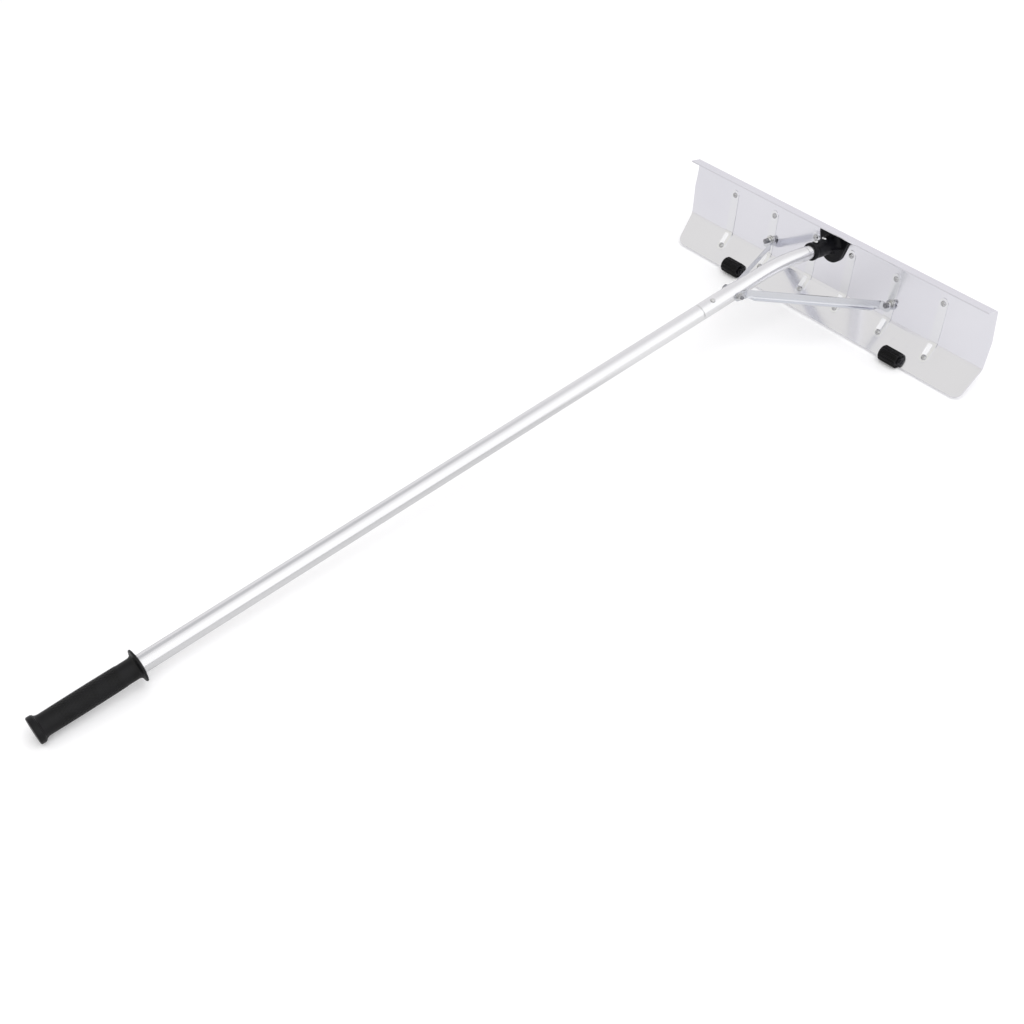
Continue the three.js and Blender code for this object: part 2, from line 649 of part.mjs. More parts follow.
// Bolt, washer, spacer and nut that hold a brace to the blade.
function braceEnd(side, parent) {
  const x = side === 'left' ? -BRACE_X : BRACE_X;
  const strapFace = onPanel(x, BRACE_BLADE_Z, STRAP_GAP + STRAP_T);
  const at = (y) => vec(x, y, BRACE_BLADE_Z);
  const washerY = strapFace.y - GAP;
  const spacerY = washerY - 1.3 - GAP;
  const tabFace = BRACE_BLADE_Y - BRACE_T / 2 - GAP;
  const spacerLen = spacerY - (BRACE_BLADE_Y + BRACE_T / 2 + GAP);
  const headY = panelY(BRACE_BLADE_Z) + SHEET + GAP;
  const length = headY - tabFace + 5.6;
  const bolt = turned([
    [0, -length], [1.9, -length], [2.4, -length + 0.7], [2.4, 0], [5.4, 0], [5.4, 0.9], [4, 2.2], [0, 2.8],
  ], 16);
  mesh(`brace_bolt_${side}`, aim(bolt, at(headY), TO_BACK), darkSteel(), parent);
  mesh(`brace_washer_${side}`, aim(ring(2.7, WASHER_R, 0, 1.3), at(washerY), TO_GRIP), zincSteel(), parent);
  mesh(`brace_spacer_${side}`, aim(ring(2.7, 4.4, 0, spacerLen), at(spacerY), TO_GRIP), zincSteel(), parent);
  mesh(`brace_nut_${side}`, aim(hexNut(8, 2.6, 4), at(tabFace), TO_GRIP), darkSteel(), parent);
}

// ---------------------------------------------------------------- rollers

// Ribbed roller about x.
function rollerGeometry() {
  const shape = new THREE.Shape();
  for (let i = 0; i < ROLLER_RIBS; i++) {
    const pitch = (2 * Math.PI) / ROLLER_RIBS;
    for (const [t, r] of [[0.06, ROLLER_R], [0.5, ROLLER_R], [0.62, GROOVE_R], [0.94, GROOVE_R]]) {
      const a = (i + t) * pitch;
      if (i === 0 && t === 0.06) shape.moveTo(r * Math.cos(a), r * Math.sin(a));
      else shape.lineTo(r * Math.cos(a), r * Math.sin(a));
    }
  }
  const hole = new THREE.Path();
  hole.absarc(0, 0, AXLE_R + 0.09, 0, 2 * Math.PI, true);
  shape.holes.push(hole);
  const tyre = alongX(shape, -ROLLER_HALF, ROLLER_HALF);
  const caps = [-1, 1].map((side) => ({ side, x: side * ROLLER_HALF })).map(({ side, x }) => {
    const recess = ring(5.2, 9.4, 0, 1.2, 24);
    return aim(recess, vec(x, 0, 0), vec(-side, 0, 0));
  });
  return combine(tyre, [], caps);
}

// Bracket behind the lip: base plate and two ears that carry the axle.
function rollerBracketGeometry(x) {
  const back = -SHEET - GAP;
  const s = rollerS();
  const out = rollerOut();
  const basePath = [flat(onLip(0, 14, back)), flat(onLip(0, s - ROLLER_R - 3.4, back))];
  const base = alongX(sheetShape(basePath, 2.6, 1), x - EAR_OUT, x + EAR_OUT);
  const earShape = new THREE.Shape([
    flat(onLip(0, 14, back)), flat(onLip(0, s - ROLLER_R + 0.5, back)),
    flat(onLip(0, s - 5.4, out + 2.8)), flat(onLip(0, s, out)),
    flat(onLip(0, s + 2, out - 5.4)), flat(onLip(0, s - 8, back - 5)), flat(onLip(0, 14, back - 2.6)),
  ]);
  const inner = EAR_OUT - EAR_T;
  const ears = [x - EAR_OUT, x + inner].flatMap((from) => [
    alongX(earShape, from, from + EAR_T),
    rod(5.8, vec(from, ROLLER_Y, ROLLER_Z), vec(from + EAR_T, ROLLER_Y, ROLLER_Z), 20),
  ]);
  const cuts = [
    rod(AXLE_R + 0.1, vec(x - 40, ROLLER_Y, ROLLER_Z), vec(x + 40, ROLLER_Y, ROLLER_Z), 20),
    ...[x - 14, x + 14].map((rx) => rod(1.8, onLip(rx, LIP_RIVET_S, 8), onLip(rx, LIP_RIVET_S, -10), 12)),
  ];
  return combine(base, ears, cuts);
}

function rollerSet(side, parent) {
  const x = side === 'left' ? -ROLLER_X : ROLLER_X;
  const end = EAR_OUT + GAP;
  const axle = turned([
    [0, -end - 1.2], [AXLE_HEAD_R, -end - 1.2], [AXLE_HEAD_R, -end], [AXLE_R, -end], [AXLE_R, end],
    [AXLE_HEAD_R, end], [AXLE_HEAD_R, end + 1.2], [0, end + 1.2],
  ], 20);
  const centre = vec(x, ROLLER_Y, ROLLER_Z);
  mesh(`roller_${side}`, rollerGeometry(), blackPlastic(), parent).position.copy(centre);
  mesh(`roller_axle_${side}`, aim(axle, centre, X_AXIS), darkSteel(), parent);
  mesh(`roller_bracket_${side}`, rollerBracketGeometry(x), blackPlastic(), parent);
  [x - 14, x + 14].forEach((rx, i) => {
    const shape = rivetGeometry(3, 0.5, 1.5, SHEET + 2.6 + 3 * GAP);
    const rivet = aim(shape, onLip(rx, LIP_RIVET_S, GAP), LIP_NORMAL);
    mesh(`bracket_rivet_${side}_${i + 1}`, rivet, zincSteel(), parent);
  });
}

// ---------------------------------------------------------------- assembly

function build() {
  const rake = new THREE.Group();
  const head = new THREE.Group();
  rake.add(head);
  head.rotation.x = -LEAN;
  mesh('blade', bladeGeometry(), satinAluminium(), head);
  STRAP_X.forEach((x, i) => mesh(`strap_${i + 1}`, strapGeometry(x), satinAluminium(), head));
  strapRivets(head);
  mesh('socket_bracket', socketBracketGeometry(), blackPlastic(), head);
  socketScrews(head);
  mesh('curved_tube', curvedTubeGeometry(), tubeAluminium(), head);
  mesh('pole', poleGeometry(), tubeAluminium(), head);
  mesh('snap_button', buttonGeometry(), zincSteel(), head);
  mesh('button_spring', buttonSpringGeometry(), zincSteel(), head);
  mesh('grip', gripGeometry(), blackRubber(), head);
  mesh('brace_right', braceGeometry(), braceAluminium(), head);
  mesh('brace_left', combine(braceGeometry().scale(-1, 1, 1)), braceAluminium(), head);
  bracePivot(head);
  for (const side of ['left', 'right']) {
    braceEnd(side, head);
    rollerSet(side, head);
  }
  const box = new THREE.Box3().setFromObject(rake, true);
  head.position.set(0, -(box.min.y + box.max.y) / 2, -box.min.z);
  return rake;
}

export default build();
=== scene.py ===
"""Looks of a roof snow rake: an aluminium blade with rollers and straps, a braced curved tube in a
moulded socket, and a pole section with a rubber grip.

Shapes are drawn in millimetres in the head frame: origin on the middle of the blade's top bend,
+Y through the panel away from the grip, +Z up the panel. put() places them in the row frame.
"""
import math

import bmesh
import bpy
from mathutils import Matrix, Vector

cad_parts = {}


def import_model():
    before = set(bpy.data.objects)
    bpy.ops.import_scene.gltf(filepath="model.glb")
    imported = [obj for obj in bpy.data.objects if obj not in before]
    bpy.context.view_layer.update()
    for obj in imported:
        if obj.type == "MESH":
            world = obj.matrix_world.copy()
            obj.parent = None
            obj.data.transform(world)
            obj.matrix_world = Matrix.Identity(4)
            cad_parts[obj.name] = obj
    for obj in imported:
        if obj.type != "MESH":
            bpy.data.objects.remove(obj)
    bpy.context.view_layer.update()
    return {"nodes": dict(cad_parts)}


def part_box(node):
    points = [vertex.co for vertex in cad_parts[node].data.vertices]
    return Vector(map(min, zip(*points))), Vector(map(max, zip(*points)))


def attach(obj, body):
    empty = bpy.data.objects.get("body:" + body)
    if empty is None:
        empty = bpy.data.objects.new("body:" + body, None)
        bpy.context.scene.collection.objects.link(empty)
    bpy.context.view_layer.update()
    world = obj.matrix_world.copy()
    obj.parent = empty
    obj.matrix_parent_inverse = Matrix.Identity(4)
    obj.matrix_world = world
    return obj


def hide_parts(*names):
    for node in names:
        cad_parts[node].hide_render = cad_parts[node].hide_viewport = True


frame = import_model()

# ---------------------------------------------------------------- sizes, millimetres

LEAN = math.radians(8)  # the panel leans back this far as the rake lies on the floor
SHEET = 2.0
PANEL_H = 98.6
PANEL_SAG = 1.0
LIP_Y, LIP_Z = 33.0, 43.6  # the lip's reach from the fold, towards the grip and down
FLANGE_W = 20.5
FLANGE_BEND = 2.5
FOLD_BEND = 1.6
HALF_WIDTHS = [(8, 305.5), (0, 305.5), (-50, 309.5), (-98.6, 307), (-129.2, 302.5), (-150, 300.2)]
LIP_CORNER = 13.0
COLUMN_STEP = 20

STRAP_X = [-216.6, -126.8, -37.3, 37.3, 126.8, 216.6]
STRAP_W = 15.5
STRAP_T = 0.9
STRAP_LIFT = 0.08  # underside of a strap above the sheet
STRAP_TOP = -21.5
STRAP_LIP_END = 31.5
STRAP_BRIDGE = 4.0  # how far from the fold a strap leaves the sheet
STRAP_BEND = 5.0
STRAP_GAP = 0.1
TOP_RIVET_Z = -30.2
LIP_RIVET_S = 23.8
RIVET_LIFT = 0.25
GAP = 0.3

TUBE_R = 12.7
BEND_TUBE_R = 11.3
TUBE_WALL = 1.5
POLE_ANGLE = LEAN + math.radians(5.24)
SOCKET_Z = -25.3
BEND_R = 334.0
DRAW_S = 38.0  # where the tube starts to narrow; S is measured along the pole
JOINT_S = 97.5
PLUG_S = 43.5
PIVOT_S = 30.0
PIVOT_R = 2.5
BUTTON_S = 73.4
BUTTON_R = 3.3
POLE_END_S = 1187.0
NECK_R = 10.8
NECK_Y = -66.5
TUBE_TIP_Y = -9.0

SOCKET_R = 13.2
SOCKET_MOUTH_Y = -54.5
SKIRT_FLARE = 6.5
PLATE_T = 4.4
PLATE_HALF_W = 28.5
PLATE_CURVE_R = 21.6
RIB_T = 2.4
SOCKET_SCREW_Y = [-46, -26]
PLATE_SCREWS = [(-21, -11.5), (21, -11.5), (0, -47.5)]

BRACE_H = 14.0
BRACE_T = 1.4
BRACE_FLANGE = 7.2
BRACE_DROP = 1.5
BRACE_FAR_DROP = 4.2
BRACE_X = 126.8
BRACE_BLADE_Z = -72.6
BRACE_BLADE_Y = -7.4
BRACE_NEAR_TAB = 18.0
BRACE_FAR_TAB = 10.0
BRACE_BEND = 6.0
BRACE_WASHER_T = 1.3
HEX_FLATS = 8.0
HEX_H = 4.0

ROLLER_X = 170.4
ROLLER_R = 12.7
ROLLER_HALF = 16.4
ROLLER_RIBS = 12
AXLE_R = 2.5
EAR_OUT = 18.2
EAR_T = 1.5
EAR_R = 5.8
YOKE_START_S = 14.0
YOKE_BASE_T = 2.6
YOKE_RIVET_X = 14.0
SLOT_HALF = 18.8

GRIP_S = 1044.0
GRIP_END_S = 1192.0
GRIP_R = 15.05
GRIP_WAIST_R = 14.6
GRIP_FLANGE_R = 21.4
GRIP_RING = 0.45  # length between the rings of points that carry the dimples
DIMPLE_PITCH = 4.7
DIMPLE_R = 1.2
DIMPLE_DEPTH = 0.55
DIMPLE_ROWS = 20

SIGN = {"left": -1, "right": 1}


def vec(x, y, z):
    return Vector((x, y, z))


FOLD = vec(0, 0, -PANEL_H)
LIP_LEN = math.hypot(LIP_Y, LIP_Z)
LIP_DIR = vec(0, -LIP_Y, -LIP_Z) / LIP_LEN
LIP_NORMAL = vec(0, -LIP_Z, LIP_Y) / LIP_LEN
TO_GRIP = vec(0, -1, 0)
X_AXIS = vec(1, 0, 0)
POLE_DIR = vec(0, -math.cos(POLE_ANGLE), -math.sin(POLE_ANGLE))
POLE_UP = vec(0, -math.sin(POLE_ANGLE), math.cos(POLE_ANGLE))
POLE_START = vec(0, -191, -40.4)
BUTTON_DIR = POLE_UP * math.cos(math.radians(20)) + X_AXIS * math.sin(math.radians(20))
ROLLER_AT = vec(0, -30.8, -133.9)
ROLLER_S = (ROLLER_AT - FOLD).dot(LIP_DIR)
ROLLER_OUT = (ROLLER_AT - FOLD).dot(LIP_NORMAL)


def panel_y(z):
    t = -z / PANEL_H
    return PANEL_SAG * 4 * t * (1 - t)


def on_panel(x, z, out):
    return vec(x, panel_y(z) - out, z)


def on_lip(x, s, out):
    return vec(x, 0, 0) + FOLD + LIP_DIR * s + LIP_NORMAL * out


def on_pole(s):
    return POLE_START + POLE_DIR * s


def head_matrix():
    """Head frame in millimetres to row frame in metres, hung on the right roller's axle."""
    low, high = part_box("roller_axle_right")
    turn = Matrix.Rotation(-LEAN, 4, "X") @ Matrix.Scale(0.001, 4)
    axle = ROLLER_AT + vec(ROLLER_X, 0, 0)
    return Matrix.Translation((low + high) / 2 - turn @ axle) @ turn


TO_ROW = head_matrix()

# ---------------------------------------------------------------- node materials


def map_range(tree, value, start, end, low=0.0, high=1.0):
    """Maps a value from start..end to low..high and holds it beyond them."""
    node = tree.nodes.new("ShaderNodeMapRange")
    settings = {"From Min": start, "From Max": end, "To Min": low, "To Max": high}
    for name, setting in settings.items():
        node.inputs[name].default_value = setting
    tree.links.new(value, node.inputs["Value"])
    return node


def product(tree, *values):
    total = values[0]
    for value in values[1:]:
        node = tree.nodes.new("ShaderNodeMath")
        node.operation = "MULTIPLY"
        tree.links.new(total, node.inputs[0])
        tree.links.new(value, node.inputs[1])
        total = node.outputs[0]
    return total


class Nodes:
    """Short helpers for one material's node tree."""

    def __init__(self, name):
        self.material = bpy.data.materials.new(name)
        self.material.use_nodes = True
        self.tree = self.material.node_tree
        self.shader = self.tree.nodes["Principled BSDF"]
        self.place = self.tree.nodes.new("ShaderNodeTexCoord").outputs["Object"]

    def link(self, a, b):
        self.tree.links.new(a, b)

    def noise(self, scale, stretch=(1, 1, 1), detail=4.0):
        mapping = self.tree.nodes.new("ShaderNodeMapping")
        mapping.inputs["Scale"].default_value = stretch
        self.link(self.place, mapping.inputs["Vector"])
        node = self.tree.nodes.new("ShaderNodeTexNoise")
        node.inputs["Scale"].default_value = scale
        node.inputs["Detail"].default_value = detail
        self.link(mapping.outputs["Vector"], node.inputs["Vector"])
        return node.outputs["Fac"]

    def ramp(self, value, low, high, start=0.3, end=0.7):
        return map_range(self.tree, value, start, end, low, high).outputs["Result"]

    def tint(self, value, dark, light):
        node = self.tree.nodes.new("ShaderNodeValToRGB")
        node.color_ramp.elements[0].position = 0.3
        node.color_ramp.elements[1].position = 0.7
        node.color_ramp.elements[0].color = (*dark, 1)
        node.color_ramp.elements[1].color = (*light, 1)
        self.link(value, node.inputs["Fac"])
        self.link(node.outputs["Color"], self.shader.inputs["Base Color"])

    def bump(self, value, height, strength=1.0):
        node = self.tree.nodes.new("ShaderNodeBump")
        node.inputs["Strength"].default_value = strength
        node.inputs["Distance"].default_value = height
        self.link(value, node.inputs["Height"])
        self.link(node.outputs["Normal"], self.shader.inputs["Normal"])


def metal(name, dark, light, rough, stretch, scale, grain):
    """Metal with streaks along the axes that stretch keeps long. rough is (low, high)."""
    n = Nodes(name)
    n.shader.inputs["Metallic"].default_value = 1
    n.tint(n.noise(9, detail=3), dark, light)
    streaks = n.noise(scale, stretch, 6)
    n.link(n.ramp(streaks, *rough), n.shader.inputs["Roughness"])
    n.bump(streaks, grain, 0.5)
    return n.material


def paint_highlight_patch(material, place, size):
    """Paints a highlight: makes a metal matt around a place of the row frame so that it shows as a white
    patch; size holds the half width and half height.
    """
    tree = material.node_tree
    shader = next(node for node in tree.nodes if node.type == "BSDF_PRINCIPLED")
    coords = tree.nodes.new("ShaderNodeTexCoord")
    moved = tree.nodes.new("ShaderNodeVectorMath")
    moved.operation = "SUBTRACT"
    moved.inputs[1].default_value = place
    tree.links.new(coords.outputs["Object"], moved.inputs[0])
    split = tree.nodes.new("ShaderNodeSeparateXYZ")
    tree.links.new(moved.outputs[0], split.inputs[0])
    soft_edge = 0.0012
    shares = []
    for axis, half in zip("XZ", size):
        far = tree.nodes.new("ShaderNodeMath")
        far.operation = "ABSOLUTE"
        tree.links.new(split.outputs[axis], far.inputs[0])
        shares.append(map_range(tree, far.outputs[0], half, half + soft_edge, 1.0, 0.0).outputs["Result"])
    metallic = map_range(tree, product(tree, *shares), 0.0, 1.0, 1.0, 0.15)
    tree.links.new(metallic.outputs["Result"], shader.inputs["Metallic"])


def polymer(name, dark, light, rough, scale, grain, gloss=0.16):
    """Moulded plastic or rubber with a fine grain."""
    n = Nodes(name)
    n.shader.inputs["Specular IOR Level"].default_value = gloss
    n.tint(n.noise(60, detail=5), dark, light)
    grainy = n.noise(scale, detail=3)
    n.link(n.ramp(grainy, *rough), n.shader.inputs["Roughness"])
    n.bump(grainy, grain, 0.7)
    return n.material


FINE_GRAIN = (1, 1, 1), 500, 0.00001
SHEET_METAL = metal("rolled_aluminium", (0.88, 0.875, 0.925), (0.91, 0.905, 0.95),
                    (0.12, 0.17), (1, 60, 60), 12, 0.000003)
STRAP_COLOURS = (0.9, 0.9, 0.93), (0.93, 0.93, 0.95)
TUBE_METAL = metal("anodised_tube", (0.9, 0.9, 0.905), (0.93, 0.93, 0.935),
                   (0.2, 0.26), (50, 1, 50), 14, 0.000002)
BRACE_METAL = metal("brace_aluminium", (0.7, 0.71, 0.75), (0.76, 0.77, 0.8),
                    (0.17, 0.23), (1, 30, 60), 14, 0.000003)
ZINC = metal("zinc_plate", (0.68, 0.68, 0.68), (0.8, 0.8, 0.79), (0.12, 0.22), *FINE_GRAIN)
RIVET_METAL = metal("rivet_steel", (0.5, 0.5, 0.51), (0.64, 0.64, 0.64), (0.1, 0.2), *FINE_GRAIN)
BLACK_STEEL = metal("black_oxide", (0.02, 0.02, 0.022), (0.035, 0.035, 0.04), (0.35, 0.5), *FINE_GRAIN)
DARK_STEEL = metal("oiled_steel", (0.26, 0.26, 0.28), (0.38, 0.38, 0.4), (0.22, 0.38), *FINE_GRAIN)
SOCKET_PLASTIC = polymer("socket_nylon", (0.004, 0.004, 0.005), (0.008, 0.008, 0.01),
                         (0.3, 0.42), 1500, 0.00002)
ROLLER_PLASTIC = polymer("roller_nylon", (0.004, 0.004, 0.004), (0.007, 0.007, 0.008),
                         (0.26, 0.38), 1200, 0.00002)
RUBBER = polymer("grip_rubber", (0.004, 0.004, 0.004), (0.008, 0.008, 0.009),
                 (0.34, 0.46), 1800, 0.00003, 0.22)

# ---------------------------------------------------------------- making pieces


WELD = 1e-4  # points closer than this become one


def shell_mesh(name, shells):
    """Mesh in the row frame of [(verts, faces), ...], with repeated points joined and faces outwards."""
    bm = bmesh.new()
    for verts, faces in shells:
        points = [bm.verts.new(v) for v in verts]
        for face in faces:
            bm.faces.new([points[i] for i in face])
    bmesh.ops.remove_doubles(bm, verts=bm.verts, dist=WELD)
    bmesh.ops.dissolve_degenerate(bm, edges=bm.edges, dist=WELD)
    bmesh.ops.recalc_face_normals(bm, faces=bm.faces)
    bmesh.ops.transform(bm, matrix=TO_ROW, verts=bm.verts)
    data = bpy.data.meshes.new(name)
    bm.to_mesh(data)
    bm.free()
    return data


def put(name, shells, material, nodes, body="rake", sharp=32):
    """Makes a piece from shells in the head frame and lets it stand for CAD nodes."""
    data = shell_mesh(name, shells)
    data.shade_smooth()
    data.set_sharp_from_angle(angle=math.radians(sharp))
    data.materials.append(material)
    obj = bpy.data.objects.new(name, data)
    bpy.context.scene.collection.objects.link(obj)
    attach(obj, body)
    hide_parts(*nodes)
    return obj


def thicken(obj, thickness, side):
    mod = obj.modifiers.new("sheet", "SOLIDIFY")
    mod.thickness = thickness / 1000
    mod.offset = side
    mod.use_even_offset = True


def soften(obj, width, segments=2, angle=40):
    """Small rounded edges, shaded so that the flat faces stay flat."""
    mod = obj.modifiers.new("edges", "BEVEL")
    mod.width = width / 1000
    mod.segments = segments
    mod.limit_method = "ANGLE"
    mod.angle_limit = math.radians(angle)
    mod.use_clamp_overlap = True
    obj.data.shade_smooth()
    for edge in obj.data.edges:
        edge.use_edge_sharp = False
    shade = obj.modifiers.new("shade", "WEIGHTED_NORMAL")
    shade.keep_sharp = True


def grid(rows, wrap_rows=False, wrap_columns=False, skip=lambda i, j: False):
    """Quads over rows of points of equal length."""
    count, width = len(rows), len(rows[0])
    verts = [p for row in rows for p in row]
    faces = []
    for i in range(count if wrap_rows else count - 1):
        for j in range(width if wrap_columns else width - 1):
            if not skip(i, j):
                a, b = i * width, ((i + 1) % count) * width
                k = (j + 1) % width
                faces.append([a + j, a + k, b + k, b + j])
    return verts, faces


def frame_of(axis):
    """Two unit vectors across an axis."""
    axis = axis.normalized()
    side = axis.cross(vec(0, 0, 1) if abs(axis.z) < 0.9 else X_AXIS).normalized()
    return side, axis.cross(side)


def turn_angles(count):
    return [2 * math.pi * k / count for k in range(count)]


def lathe(profile, at, axis, sides):
    """Solid of revolution from (radius, height) pairs that start and end on the axis or close up."""
    side, up = frame_of(axis)
    axis = axis.normalized()
    rows = []
    for r, h in profile:
        rows.append([at + axis * h + (side * math.cos(a) + up * math.sin(a)) * r for a in turn_angles(sides)])
    closed = profile[0] == profile[-1]
    return grid(rows[:-1] if closed else rows, closed, True)


def arc(centre, radius, start, end, steps):
    """(r, h) points of an arc for a lathe profile; angles in degrees from the radial direction."""
    angles = [math.radians(start + (end - start) * i / steps) for i in range(steps + 1)]
    return [(centre[0] + radius * math.cos(a), centre[1] + radius * math.sin(a)) for a in angles]


def round_corner(a, b, c, radius, steps=5):
    """Points of the arc that rounds the corner b of a-b-c."""
    back, ahead = (a - b).normalized(), (c - b).normalized()
    half = math.acos(max(-1, min(1, back.dot(ahead)))) / 2
    reach = min(radius / math.tan(half), 0.49 * min((a - b).length, (c - b).length))
    size = reach * math.tan(half)
    centre = b + (back + ahead).normalized() * (size / math.sin(half))
    start, end = b + back * reach - centre, b + ahead * reach - centre
    return [centre + start.slerp(end, i / steps).normalized() * start.length for i in range(steps + 1)]


def rounded_path(points, radius, steps=5):
    path = [points[0]]
    for a, b, c in zip(points, points[1:], points[2:]):
        path += round_corner(a, b, c, radius, steps)
    return path + [points[-1]]


def resample(path, step):
    """Adds points so that none are further apart than step."""
    out = [path[0]]
    for a, b in zip(path, path[1:]):
        n = max(1, math.ceil((b - a).length / step))
        out += [a.lerp(b, (i + 1) / n) for i in range(n)]
    return out


def distances(path):
    """How far along a path each of its points is."""
    lengths = [0.0]
    for a, b in zip(path, path[1:]):
        lengths.append(lengths[-1] + (b - a).length)
    return lengths


def point_along(path, lengths, s):
    """The point at distance s along a path, and the number of the stretch that holds it."""
    k = max(i for i, length in enumerate(lengths) if length <= s + 1e-9)
    k = min(k, len(path) - 2)
    return path[k].lerp(path[k + 1], (s - lengths[k]) / (lengths[k + 1] - lengths[k])), k


def prism(front, back):
    """Closed shell between two outlines with the same number of points."""
    n = len(front)
    faces = [list(range(n)), list(range(2 * n - 1, n - 1, -1))]
    faces += [[i, i + n, (i + 1) % n + n, (i + 1) % n] for i in range(n)]
    return front + back, faces


def box_shell(centre, size, axes):
    across, up, along = (axis * (length / 2) for axis, length in zip(axes, size))

    def corners(end):
        return [centre + across * x + up * y + along * end for x, y in ((-1, -1), (1, -1), (1, 1), (-1, 1))]

    return prism(corners(-1), corners(1))


def cut(obj, shells):
    """Takes the shells out of a piece."""
    tool = bpy.data.objects.new("cutter", shell_mesh("cutter", shells))
    bpy.context.scene.collection.objects.link(tool)
    mod = obj.modifiers.new("cut", "BOOLEAN")
    mod.operation = "DIFFERENCE"
    mod.solver = "EXACT"
    mod.object = tool
    bake(obj)
    bpy.data.objects.remove(tool)


def bake(obj):
    """Replaces a piece's mesh with its modified mesh."""
    bpy.context.view_layer.update()
    shape = obj.evaluated_get(bpy.context.evaluated_depsgraph_get())
    data = bpy.data.meshes.new_from_object(shape)
    obj.modifiers.clear()
    obj.data = data


# ---------------------------------------------------------------- blade


def half_width(z):
    for (z1, w1), (z0, w0) in zip(HALF_WIDTHS, HALF_WIDTHS[1:]):
        if z >= z0:
            t = (z - z0) / (z1 - z0)
            return w0 + (w1 - w0) * (0.5 * t + 0.5 * math.sin(t * math.pi / 2) if w1 < w0 else t)
    return HALF_WIDTHS[-1][1]


def blade_path():
    """Points down the face that looks at the grip, and how far along the lip the roller slots start."""
    edge, top = vec(0, -FLANGE_W, -0.2), vec(0, 0, -SHEET)
    upper, lower = on_panel(0, -96.2, 0), on_lip(0, 2.4, 0)
    panel = [on_panel(0, z, 0) for z in range(-10, -92, -4)]
    start = ROLLER_S - math.sqrt(ROLLER_R ** 2 - ROLLER_OUT ** 2) - 0.8
    path = [edge] + round_corner(edge, top, panel[0], FLANGE_BEND, 8) + panel
    path += round_corner(panel[-1], upper, lower, FOLD_BEND, 4)
    path += round_corner(upper, lower, on_lip(0, 20, 0), FOLD_BEND, 4)
    path += [on_lip(0, s, 0) for s in (10, 20, 30, start)]
    corner = [LIP_LEN - LIP_CORNER * (1 - math.sin(math.pi / 2 * i / 8)) for i in range(9)]
    path += [on_lip(0, s, 0) for s in corner if s > start + 0.2]
    return path, start


def blade():
    path, slot_start = blade_path()
    inner = list(range(-260, 261, COLUMN_STEP))
    outer = [0.2, 0.4, 0.6, 0.8, 0.92, 1.0]
    rows = []
    for p in path:
        s = (p - FOLD).dot(LIP_DIR) if p.z < -PANEL_H else 0
        width = half_width(min(p.z, 0))
        into = max(0, s - (LIP_LEN - LIP_CORNER))
        width -= LIP_CORNER - math.sqrt(max(0, LIP_CORNER ** 2 - into ** 2))
        ends = [inner[-1] + (width - inner[-1]) * t for t in outer]
        xs = [-x for x in reversed(ends)] + inner + ends
        rows.append([vec(x, p.y, p.z) for x in xs])
    slot_row = next(i for i, p in enumerate(path)
                    if p.z < -PANEL_H and (p - FOLD).dot(LIP_DIR) >= slot_start - 1e-6)

    def in_notch(i, j):
        """Whether a cell is left open for a roller: one column each, narrower than the roller."""
        middle = (rows[i][j].x + rows[i][j + 1].x) / 2
        return i >= slot_row and abs(abs(middle) - ROLLER_X) < SLOT_HALF

    obj = put("blade_sheet", [grid(rows, skip=in_notch)], SHEET_METAL, ["blade"])
    face_to(obj, TO_GRIP)
    thicken(obj, SHEET, -1)
    soften(obj, 0.45, 3)


def face_to(obj, direction):
    """Turns an open sheet so that its normals point mostly along a head-frame direction."""
    towards = TO_ROW.to_3x3() @ direction
    total = sum((p.normal * p.area for p in obj.data.polygons), Vector())
    if total.dot(towards) < 0:
        obj.data.flip_normals()


# ---------------------------------------------------------------- straps and rivets


def strap_path():
    points = [on_panel(0, z, STRAP_LIFT) for z in (STRAP_TOP, -40, -60, -PANEL_H + STRAP_BRIDGE)]
    points += [on_lip(0, STRAP_BRIDGE, STRAP_LIFT), on_lip(0, STRAP_LIP_END, STRAP_LIFT)]
    return resample(rounded_path(points, STRAP_BEND, 4), 4)


def strap(index, x):
    path = strap_path()
    lengths = distances(path)
    total, r = lengths[-1], STRAP_W / 2
    stations = [r * (1 - math.cos(math.pi / 2 * i / 8)) for i in range(9)]
    marks = sorted(set(stations) | {total - s for s in stations} | {s for s in lengths if r < s < total - r})
    rows = []
    for s in marks:
        p, k = point_along(path, lengths, s)
        d = path[k + 1] - path[k]
        out = vec(0, d.z, -d.y).normalized()
        into = max(0.0, r - s, r - (total - s))
        half = max(0.05, math.sqrt(max(0.0, r * r - into * into)))
        crown = [0.06 * (1 - (v / 4) ** 2) for v in range(-4, 5)]
        rows.append([p + vec(x + half * v / 4, 0, 0) + out * crown[v + 4] for v in range(-4, 5)])
    strap_metal_with_highlight = metal(f"strap_aluminium_{index}", *STRAP_COLOURS, (0.14, 0.2), (60, 1, 60), 12, 0.000003)
    # Painted highlight: the lip part of each strap turns matt and shows as a white patch.
    highlight_middle = on_lip(x - 2.6, 10.5, STRAP_T)
    paint_highlight_patch(strap_metal_with_highlight, TO_ROW @ highlight_middle, (0.0036, 0.0065))
    obj = put(f"strap_bar_{index}", [grid(rows)], strap_metal_with_highlight, [f"strap_{index}"])
    face_to(obj, TO_GRIP)
    thicken(obj, STRAP_T - 0.3, 1)
    soften(obj, 0.22, 3, 50)


def rivet_shell(at, axis, head_r=4.4, head_h=2.3):
    """Blind rivet: domed flange with a small recess where the mandrel broke off."""
    dome = [(head_r, -0.4), (head_r, 0.15), (head_r * 0.96, 0.5)]
    dome += [(head_r * math.cos(a), head_h * math.sin(a)) for a in map(math.radians, (25, 38, 50, 60))]
    dome += [(1.35, head_h * 0.97), (1.1, head_h * 0.9), (0.95, head_h * 0.62), (0, head_h * 0.55)]
    return lathe([(0, -0.4)] + dome, at, axis, 40)


def tail_shell(at, axis):
    """Upset end of a rivet behind the sheet."""
    return lathe([(0, -0.2), (3.0, -0.2), (3.1, 0.5), (2.7, 1.3), (1.6, 1.8), (0, 1.9)], at, axis, 32)


